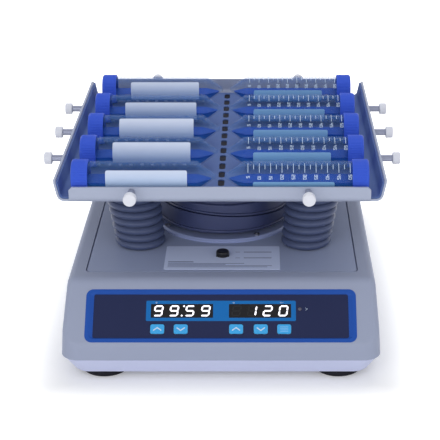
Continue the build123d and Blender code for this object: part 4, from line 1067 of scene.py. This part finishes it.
# ---------------------------------------------------------------- deck label
@dataclass
class DeckLabel:
    """Thin plate round the knob with bars where printing would be.

    Attributes:
        size: width and depth of the plate.
        middle_y: where its middle lies.
        deck_z: height of the deck.
        thick: thickness of the plate.
        hole: radius left clear round the knob's bush.
        knob_y: where the knob's middle lies.
    """

    size: tuple[float, float] = (98.0 * MM, 49.0 * MM)
    middle_y: float = -94.5 * MM
    deck_z: float = DECK_Z
    thick: float = 0.4 * MM
    hole: float = 6.3 * MM
    knob_y: float = -90.0 * MM

    def build(self) -> None:
        """Build the plate and its bars."""
        outer = rounded_outline(*self.size, 1.5 * MM, 11)
        spread = np.linspace(0, 1, 6)[:, None, None]
        centre = np.array([0.0, self.knob_y - self.middle_y])
        angle = np.arctan2(outer[:, 1] - centre[1], outer[:, 0] - centre[0])
        inner = centre + self.hole * np.stack([np.cos(angle), np.sin(angle)], axis=-1)
        flat = inner[None] * (1 - spread) + outer[None] * spread
        level = np.full(flat.shape[:2], self.deck_z + self.thick)
        high = np.dstack([flat[..., 0], flat[..., 1] + self.middle_y, level])
        low = high.copy()
        low[..., 2] = self.deck_z
        rings = np.concatenate([low, high[::-1], low[:1]])
        ride(Shape().grid(rings, cap=False).build("deck_label", [LABEL_SILVER]), "base")
        self.build_bars()

    def build_bars(self) -> None:
        """Grey bars in the places of printed lines, four of them beside the knob."""
        shape = Shape()
        top = self.deck_z + self.thick
        left = -self.size[0] / 2 + 3.0 * MM
        wide = self.size[0]
        rows = (
            (-104.0, 0.22, 1.5), (-107.2, 0.66, 0.8), (-109.6, 0.5, 0.8), (-112.0, 0.9, 0.8),
            (-114.4, 0.86, 0.8),
        )
        bars = [(left + share * wide / 2, y * MM, share * wide, tall * MM) for y, share, tall in rows]
        for y in (-83.0, -95.5):
            bars.append((13.0 * MM, y * MM, 4.0 * MM, 0.7 * MM))
            bars.append((30.0 * MM, y * MM, 24.0 * MM, 1.2 * MM))
        for x, y, length, tall in bars:
            outline = rounded_outline(length, tall, tall * 0.4, 3)
            low = lay_flat((x, y, top), (1, 0, 0), (0, 1, 0), 0.0)
            high = lay_flat((x, y, top), (1, 0, 0), (0, 1, 0), 0.04 * MM)
            shape.prism(outline, low, high)
        ride(shape.build("deck_label_bars", [INK]), "base")


# ---------------------------------------------------------------- bellows
@dataclass
class Bellows:
    """One corrugated sleeve in two halves, which meet in a fold on the pivots' level.

    Attributes:
        name: part of the piece names.
        x: place of the foot's middle.
        y: place of the foot's middle.
        lean: how far the top stands further out.
        low: height of the foot.
        high: height of the top.
        outer: radius of the lowest crest.
        growth: how much larger the top crest is.
        depth: how far a groove lies inside the crests.
        folds: number of crests.
        wall: thickness of the rubber.
    """

    name: str
    x: float
    y: float
    lean: float = 8.6 * MM
    low: float = 75.3 * MM
    high: float = 146.7 * MM
    outer: float = 21.6 * MM
    growth: float = 2.8 * MM
    depth: float = 3.6 * MM
    folds: int = 10
    wall: float = 1.4 * MM

    def half(self, start: float, end: float) -> np.ndarray:
        """Closed wall between two shares of the height.

        A crest stands between two grooves: the radius is the groove's plus
        depth times |sin(folds * pi * share)| to the power 0.62, and both grow
        evenly with the height, as does the middle's lean.
        """
        share = np.linspace(start, end, int(round(self.folds * (end - start) * 14)) + 1)
        swell = np.abs(np.sin(np.pi * self.folds * share)) ** 0.62
        radius = self.outer - self.depth + self.growth * share + self.depth * swell
        height = self.low + (self.high - self.low) * share
        shift = self.lean * share * np.sign(self.x)
        inner = np.stack([radius - self.wall, height, shift])[:, ::-1]
        closed = np.concatenate([np.stack([radius, height, shift]), inner], axis=1)
        closed = np.concatenate([closed, closed[:, :1]], axis=1)
        angle = np.linspace(0, 2 * np.pi, 72, endpoint=False)
        return np.stack([
            self.x + closed[2][:, None] + closed[0][:, None] * np.cos(angle),
            self.y + closed[0][:, None] * np.sin(angle),
            closed[1][:, None] + 0 * angle,
        ], axis=-1)

    def build(self) -> list[bpy.types.Object]:
        """Build both halves, which meet halfway up."""
        seam = 5 / self.folds
        lower, upper = (
            Shape().grid(self.half(start, end), cap=False)
            .build(f"bellows_{name}_{self.name}", [BELLOWS_RUBBER], 50)
            for name, start, end in (("lower", 0, seam), ("upper", seam, 1))
        )
        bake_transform(lower)
        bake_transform(upper)
        return [lower, upper]


BELLOWS_PLACE = (72.1 * MM, 60.6 * MM)


def build_bellows() -> None:
    """Build four sleeves in place of the plain node."""
    pieces: list[bpy.types.Object] = []
    for side_name, side in (("left", -1), ("right", 1)):
        for end_name, end in (("front", -1), ("rear", 1)):
            sleeve = Bellows(f"{end_name}_{side_name}", side * BELLOWS_PLACE[0], end * BELLOWS_PLACE[1])
            pieces += sleeve.build()
    for piece in pieces:
        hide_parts("bellows")
        LOG.info("piece %s bends between two bodies", piece.name)


# ---------------------------------------------------------------- tray
@dataclass
class SlotShade:
    """Dark inserts in the mat's slots.

    Attributes:
        slot_length: length of a sheet, along the tubes.
        slot_width: width of a sheet.
        slots: number of slots.
        pitch: distance from one slot to the next.
    """

    slot_length: float = 15.2 * MM
    slot_width: float = 5.1 * MM
    slots: int = 14
    pitch: float = 20.32 * MM

    def build(self) -> None:
        """Build the painted shade sheets, which lie a little below the mat's top face."""
        low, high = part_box("tray_mat")
        shape = Shape()
        outline = rounded_outline(self.slot_width, self.slot_length, self.slot_width * 0.49, 8)
        for i in range(self.slots):
            y = (i - (self.slots - 1) / 2) * self.pitch
            bottom = lay_flat((0, y, low.z), (1, 0, 0), (0, 1, 0), 0.05 * MM)
            top = lay_flat((0, y, low.z), (1, 0, 0), (0, 1, 0), 0.35 * MM)
            shape.prism(outline, bottom, top)
        ride(shape.build("slot_shade_sheets", [SLOT_SHADE]), "platform")


# ---------------------------------------------------------------- sample tubes
class Side(Enum):
    """Which way a tube points, and the turn of the print on the tube of each row, front first."""

    LEFT = (-1, (-2.0, 13.0, 20.0, -2.0, 5.0))
    RIGHT = (1, (226.0, 209.0, 210.0, 211.0, 212.0))


@dataclass
class SampleTube:
    """Capped conical tube with liquid, writing patch and graduations.

    The tube lies along X; x is measured from its tip towards the cap, and an
    angle a on its side stands for the direction (0, cos a, sin a).

    Attributes:
        side: left or right of the tray's middle.
        row: row number, 1 at the front.
        length: from the tip to the cap's end.
        radius: outside of the straight part.
        wall: thickness of the wall.
        tip: radius of the rounded tip.
        cone: length of the cone.
        cap_radius: outside of the cap.
        cap_length: length of the cap.
        fill: height of the liquid's surface above the axis.
        patch_reach: start and end of the writing patch along the tube.
        patch_corner: radius of the patch's corners.
        patch_half: half of the arc that the patch spans, in degrees.
        mark_first: place of the first graduation.
        mark_pitch: distance from one numbered graduation to the next.
        mark_width: width of a graduation line.
        mark_lift: lower and upper face of the print above the tube's side.
    """

    side: Side
    row: int
    length: float = 116.0 * MM
    radius: float = 12.25 * MM
    wall: float = 1.2 * MM
    tip: float = 3.2 * MM
    cone: float = 15.5 * MM
    cap_radius: float = 13.8 * MM
    cap_length: float = 13.5 * MM
    fill: float = -2.1 * MM
    patch_reach: tuple[float, float] = (23.0 * MM, 88.2 * MM)
    patch_corner: float = 1.4 * MM
    patch_half: float = 43.0
    mark_first: float = 19.0 * MM
    mark_pitch: float = 9.07 * MM
    mark_width: float = 0.4 * MM
    mark_lift: tuple[float, float] = (0.02 * MM, 0.06 * MM)

    @property
    def label(self) -> str:
        """Name shared by the tube's nodes and body."""
        return f"{self.side.name.lower()}_{self.row}"

    @property
    def print_turn(self) -> float:
        """Angle of the patch's middle on the tube's side, in radians."""
        return math.radians(self.side.value[1][self.row - 1])

    def place(self, points: np.ndarray) -> np.ndarray:
        """Move points from the tube's own frame into the model."""
        low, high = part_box(f"tube_{self.label}")
        turn = self.side.value[0]
        origin = np.array([low.x if turn > 0 else high.x, (low.y + high.y) / 2, (low.z + high.z) / 2])
        return origin + points * np.array([turn, turn, 1.0])

    def outer_profile(self) -> np.ndarray:
        """Outside of the tube from the tip: a ball of the tip's radius, then the cone."""
        turn = np.linspace(0, np.pi / 2 * 0.86, 8)
        nose = np.stack([self.tip * (1 - np.cos(turn)), self.tip * np.sin(turn)], axis=-1)
        neck = self.length - self.cap_length
        bend = np.array([
            [self.cone - 0.8 * MM, self.radius - 0.5 * MM],
            [self.cone + 0.5 * MM, self.radius - 0.05 * MM],
            [self.cone + 2.0 * MM, self.radius],
        ])
        straight = np.array([[neck, self.radius], [neck + 0.6 * MM, self.radius - 0.4 * MM],
                             [self.length - 2.2 * MM, self.radius - 0.4 * MM]])
        return np.vstack([nose, bend, straight])

    def inset(self, profile: np.ndarray, depth: float) -> np.ndarray:
        """Profile moved inwards along its normals by a depth."""
        step = np.gradient(profile, axis=0)
        normal = np.stack([-step[:, 1], step[:, 0]], axis=-1)
        normal /= np.linalg.norm(normal, axis=1)[:, None]
        moved = profile - normal * depth
        moved[:, 1] = np.maximum(moved[:, 1], 0)
        return moved

    def build(self) -> None:
        """Build and dress all pieces of one tube."""
        body = f"sample_{self.label}"
        pieces = [self.build_shell(), self.build_liquid(), self.build_patch(), self.build_graduations()]
        for piece in pieces:
            ride(piece, body)
        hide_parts(f"tube_{self.label}")
        cap = self.build_cap()
        ride(cap, body)
        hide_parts(f"cap_{self.label}")

    def build_shell(self) -> bpy.types.Object:
        """Thin clear wall: the outside profile out, the inside profile back."""
        outer = self.outer_profile()
        inner = self.inset(outer, self.wall)[1:]
        inner = np.vstack([[self.wall, 0.0], inner])
        profile = np.vstack([outer, inner[::-1]])
        return Shape().turned(profile, 72, self.place).build(f"shell_{self.label}", [TUBE_PLASTIC])

    def build_liquid(self) -> bpy.types.Object:
        """Liquid that fills the tube up to a level surface.

        At each x the section is a circle of the bore's radius r cut off at the
        fill height h: its arc runs from angle asin(h / r) round below.
        """
        inner = self.inset(self.outer_profile(), self.wall + 0.12 * MM)
        x = np.linspace(4.0 * MM, self.length - self.cap_length + 4 * MM, 40)
        radius = np.interp(x, inner[:, 0], inner[:, 1])
        keep = radius > abs(self.fill) + 0.2 * MM
        x, radius = x[keep], radius[keep]
        start = np.arcsin(np.clip(self.fill / radius, -1, 1))
        sweep = np.linspace(0, 1, 33)[None, :]
        angle = (np.pi - start)[:, None] + (np.pi + 2 * start)[:, None] * sweep
        x, radius = x[:, None] + 0 * angle, radius[:, None]
        arc = np.stack([x, radius * np.cos(angle), radius * np.sin(angle)], axis=-1)
        shape = Shape().grid(self.place(arc))
        return shape.build(f"liquid_{self.label}", [LIQUID])

    def curved_slab(
        self, x: np.ndarray, angle: np.ndarray, low: float, high: float
    ) -> tuple[np.ndarray, np.ndarray]:
        """Lower and upper grid of a slab on the tube's side, at two heights above it."""
        layers = []
        for lift in (low, high):
            radius = self.radius + lift
            grid = np.stack([x, radius * np.cos(angle), radius * np.sin(angle)], axis=-1)
            layers.append(self.place(grid))
        return layers[0], layers[1]

    def build_patch(self) -> bpy.types.Object:
        """Printed writing patch with rounded corners, wrapped round the side.

        At each x the patch spans an equal arc either side of its middle; within
        a corner's radius c of its ends, at distance d, the half arc is shorter
        by c - sqrt(c^2 - (c - d)^2).
        """
        near, far = self.patch_reach
        corner = self.patch_corner
        ease = corner * (1 - np.cos(np.linspace(0, np.pi / 2, 7)))
        middle = np.linspace(near + corner, far - corner, 26)[1:-1]
        x = np.concatenate([near + ease, middle, far - ease[::-1]])
        away = np.minimum(np.minimum(x - near, far - x), corner)
        half = math.radians(self.patch_half) * self.radius - corner
        half = half + np.sqrt(corner**2 - (corner - away) ** 2)
        angle = self.print_turn + half[:, None] * np.linspace(-1, 1, 25)[None, :] / self.radius
        low, high = self.curved_slab(x[:, None] + 0 * angle, angle, 0.02 * MM, 0.07 * MM)
        finish = PATCH_LEFT if self.side is Side.LEFT else PATCH_RIGHT
        return Shape().sheet(low, high).build(f"patch_{self.label}", [finish])

    def build_graduations(self) -> bpy.types.Object:
        """White lines every 2.5 ml and numbers every 5 ml, wrapped round the side."""
        shape = Shape()
        middle = self.print_turn
        width = self.mark_width
        steps = np.linspace(0, 1, 9)
        for i in range(10):
            for offset, reach in ((0.0, (-121, -78.5)), (0.5, (-114, -92))):
                if i == 9 and offset:
                    continue
                at = self.mark_first + (i + offset) * self.mark_pitch
                turn = middle + np.radians(reach[0] + (reach[1] - reach[0]) * steps)
                x, angle = np.meshgrid([at - width / 2, at + width / 2], turn, indexing="ij")
                shape.sheet(*self.curved_slab(x, angle, *self.mark_lift))
            self.add_number(shape, str(5 * (i + 1)), self.mark_first + i * self.mark_pitch, middle)
        return shape.build(f"graduations_{self.label}", [MARK_WHITE])

    def add_number(self, shape: Shape, text: str, at: float, middle: float) -> None:
        """Draw a number in thin strokes, its top towards the cap.

        Each glyph is a set of lattice strokes, as on the display, whose width
        runs round the tube and whose height runs along it.

        Args:
            shape: shape that takes the strokes.
            text: the number.
            at: place of its middle along the tube.
            middle: angle of the writing patch's middle.
        """
        wide, tall, line, space = 1.25 * MM, 2.3 * MM, 0.42 * MM, 0.95 * MM
        span = len(text) * (wide + space) - space
        for place, digit in enumerate(text):
            begin = math.radians(-62) * self.radius - span / 2 + place * (wide + space)
            for part in NUMBER_STROKES[digit]:
                start, end = (np.array(p, float) * (wide, tall / 2) for p in part.value)
                along = (end - start) / np.linalg.norm(end - start)
                start, end = start - along * line / 2, end + along * line / 2
                side = np.array([-along[1], along[0]]) * line / 2
                steps = np.linspace(0, 1, 3)[:, None]
                middle_line = start + (end - start) * steps
                grid = np.stack([middle_line - side, middle_line + side])
                x = at - tall / 2 + grid[..., 1]
                angle = middle + (begin + grid[..., 0]) / self.radius
                shape.sheet(*self.curved_slab(x, angle, *self.mark_lift))

    def build_cap(self) -> bpy.types.Object:
        """Screw cap with fine ribs, a chamfered end and a sunk ring in its face.

        The radius is lowered between ribs by depth times (0.5 - 0.5 cos(n a)) to
        the power 2.5, only along the ribbed length.
        """
        neck, end, top = self.length - self.cap_length, self.length, self.cap_radius
        near, bore = neck + 0.8 * MM, self.cap_radius - 1.9 * MM
        profile = np.array([
            [end - 1.9 * MM, 0.0], [end - 1.9 * MM, bore], [neck, bore], [neck, top - 0.9 * MM],
            [neck + 0.15 * MM, top - 0.3 * MM], [near, top - 0.1 * MM], [near + 0.6 * MM, top],
            [end - 2.3 * MM, top], [end - 1.6 * MM, top - 0.1 * MM],
            [end - 0.6 * MM, top - 0.55 * MM], [end - 0.1 * MM, top - 1.3 * MM], [end, top - 2.2 * MM],
            [end, top - 3.4 * MM], [end - 0.35 * MM, top - 3.9 * MM], [end - 0.35 * MM, 0.0],
        ])
        ribs, depth = 60, 0.4 * MM
        ribbed = (near + 0.3 * MM, end - 2.0 * MM)

        def ripple(x: np.ndarray, angle: np.ndarray, radius: np.ndarray) -> np.ndarray:
            """Lower the radius between the ribs."""
            wave = (0.5 - 0.5 * np.cos(ribs * angle)) ** 2.5
            inside = (x > ribbed[0]) & (x < ribbed[1]) & (radius > top - 0.2 * MM)
            return radius - depth * wave * inside

        shape = Shape().turned(profile, ribs * 6, self.place, ripple)
        return shape.build(f"ribbed_cap_{self.label}", [CAP_BLUE])


NUMBER_STROKES: dict[str, tuple[Segment, ...]] = {
    **DIGITS,
    "3": (Segment.TOP, Segment.UPPER_RIGHT, Segment.MIDDLE, Segment.LOWER_RIGHT, Segment.BOTTOM),
    "4": (Segment.UPPER_LEFT, Segment.MIDDLE, Segment.UPPER_RIGHT, Segment.LOWER_RIGHT),
}

AXIS_Z = 164.1 * MM
# Liquid: navy at the top, brighter blue low in the cone; this change is painted light and shade, the low
# colour raised to offset the cone's shade.
LIQUID = HeightTint(
    "blue_liquid", tint(56, 156, 240), tint(16, 74, 176), AXIS_Z - 9 * MM, AXIS_Z - 2.6 * MM, 0.6
)
# Writing patches: their own pale colour, painted lighter towards the top and darker towards the bottom as
# painted light and shade on the tube's side.
PATCH_LEFT = HeightTint(
    "patch_left", tint(150, 184, 226), tint(214, 224, 246), AXIS_Z - 9 * MM, AXIS_Z + 9 * MM, 0.5
)
PATCH_RIGHT = HeightTint(
    "patch_right", tint(112, 168, 218), tint(140, 186, 228), AXIS_Z - 12 * MM, AXIS_Z + 4 * MM, 0.5
)


# ---------------------------------------------------------------- stage
@dataclass
class Studio:
    """Pale floor, soft lamps and the camera.

    Attributes:
        camera_place: where the camera stands.
        camera_tilt: its angle from straight down, in degrees.
        lens: focal length in millimetres.
        shift_x: sideways shift of the lens.
        lamps: name, place, width and watts of each lamp.
    """

    camera_place: tuple[float, float, float] = (0.0304, -1.1879, 0.5517)
    camera_tilt: float = 68.0
    lens: float = 114.0
    shift_x: float = -0.0865
    lamps: tuple[tuple[str, tuple[float, float, float], float, float], ...] = (
        ("key", (-0.55, -1.45, 0.75), 1.1, 6.6),
        ("fill", (0.9, -1.3, 0.65), 1.2, 3.5),
        ("back", (0.1, 0.9, 1.7), 1.4, 7.5),
    )

    def build(self) -> None:
        """Build the camera, the lamps, the floor and the world."""
        self.build_camera()
        self.build_world()
        self.build_floor()
        for lamp in self.lamps:
            self.build_lamp(*lamp)

    def build_camera(self) -> None:
        """Camera with a long lens, level across and looking down by its tilt."""
        data = bpy.data.cameras.new("camera")
        data.lens, data.sensor_width, data.shift_x = self.lens, 36.0, self.shift_x
        data.clip_end = 50.0
        camera = bpy.data.objects.new("camera", data)
        camera.location = self.camera_place
        camera.rotation_euler = (math.radians(self.camera_tilt), 0, 0)
        bpy.context.scene.collection.objects.link(camera)
        bpy.context.scene.camera = camera

    def build_lamp(self, name: str, place: tuple[float, float, float], size: float, watts: float) -> None:
        """Soft square lamp that faces the middle of the object."""
        data = bpy.data.lights.new(name, "AREA")
        data.size, data.energy = size, watts
        lamp = bpy.data.objects.new(name, data)
        lamp.location = place
        toward = Vector((0, 0, 0.1)) - Vector(place)
        lamp.rotation_euler = toward.to_track_quat("-Z", "Y").to_euler()
        bpy.context.scene.collection.objects.link(lamp)

    def build_world(self) -> None:
        """World that lights softly and shows white to the camera and in reflections."""
        world = bpy.data.worlds.new("world")
        bpy.context.scene.world = world
        world.use_nodes = True
        tree = world.node_tree
        background = tree.nodes["Background"]
        background.inputs["Color"].default_value = (0.97, 0.98, 1.0, 1.0)
        path = add(tree, "ShaderNodeLightPath")
        seen = math_node(tree, "MAXIMUM", path.outputs["Is Camera Ray"], path.outputs["Is Transmission Ray"])
        seen = math_node(tree, "MAXIMUM", seen, path.outputs["Is Glossy Ray"])
        strength = math_node(tree, "ADD", math_node(tree, "MULTIPLY", seen, 0.45), 0.55)
        tree.links.new(strength, background.inputs["Strength"])

    def build_floor(self) -> None:
        """Large pale floor whose glow to the camera is held low near the base's outline: a painted shadow
        round the base, added to the lamps' own shadow.
        """
        reach = 12.0
        mesh = bpy.data.meshes.new("floor")
        corners = [(-reach, -reach, 0), (reach, -reach, 0), (reach, reach, 0), (-reach, reach, 0)]
        mesh.from_pydata(corners, [], [(0, 1, 2, 3)])
        floor = bpy.data.objects.new("floor", mesh)
        bpy.context.scene.collection.objects.link(floor)
        material = bpy.data.materials.new("pale_floor")
        material.use_nodes = True
        tree = material.node_tree
        shader = tree.nodes["Principled BSDF"]
        shader.inputs["Base Color"].default_value = (0.9, 0.9, 0.9, 1)
        shader.inputs["Roughness"].default_value = 0.7
        path = add(tree, "ShaderNodeLightPath")
        seen = math_node(tree, "MAXIMUM", path.outputs["Is Camera Ray"], path.outputs["Is Glossy Ray"])
        seen = math_node(tree, "MAXIMUM", seen, path.outputs["Is Transmission Ray"])
        shader.inputs["Emission Color"].default_value = (1, 1, 1, 1)
        place = add(tree, "ShaderNodeTexCoord").outputs["Object"]
        steps = (("ABSOLUTE", None), ("SUBTRACT", (*BASE_HALF, 0.0)), ("MAXIMUM", (0.0, 0.0, 0.0)))
        for step, value in steps:
            node = add(tree, "ShaderNodeVectorMath", operation=step)
            tree.links.new(place, node.inputs[0])
            if value:
                node.inputs[1].default_value = value
            place = node.outputs["Vector"]
        away = add(tree, "ShaderNodeVectorMath", operation="LENGTH")
        tree.links.new(place, away.inputs[0])
        # Painted shadow: the floor's glow falls from 1 to 0.12 close to the base's outline, darkening the
        # floor there.
        far = add(tree, "ShaderNodeMapRange", interpolation_type="SMOOTHSTEP")
        for label, value in (("From Min", -0.01), ("From Max", 0.07), ("To Min", 0.12), ("To Max", 1.0)):
            far.inputs[label].default_value = value
        tree.links.new(away.outputs["Value"], far.inputs["Value"])
        glow_with_painted_shadow = math_node(tree, "MULTIPLY", seen, far.outputs["Result"])
        tree.links.new(glow_with_painted_shadow, shader.inputs["Emission Strength"])
        mesh.materials.append(material)


def main() -> None:
    """Build the whole scene in order."""
    logging.basicConfig(level=logging.INFO, format="%(name)s: %(message)s")
    bpy.context.scene.view_settings.view_transform = "Standard"
    Studio().build()
    dress_nodes(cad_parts)
    DeckLabel().build()
    ControlPanel().build()
    build_bellows()
    SlotShade().build()
    for side in Side:
        for row in range(1, ROWS + 1):
            SampleTube(side, row).build()


if __name__ == "__main__":
    main()
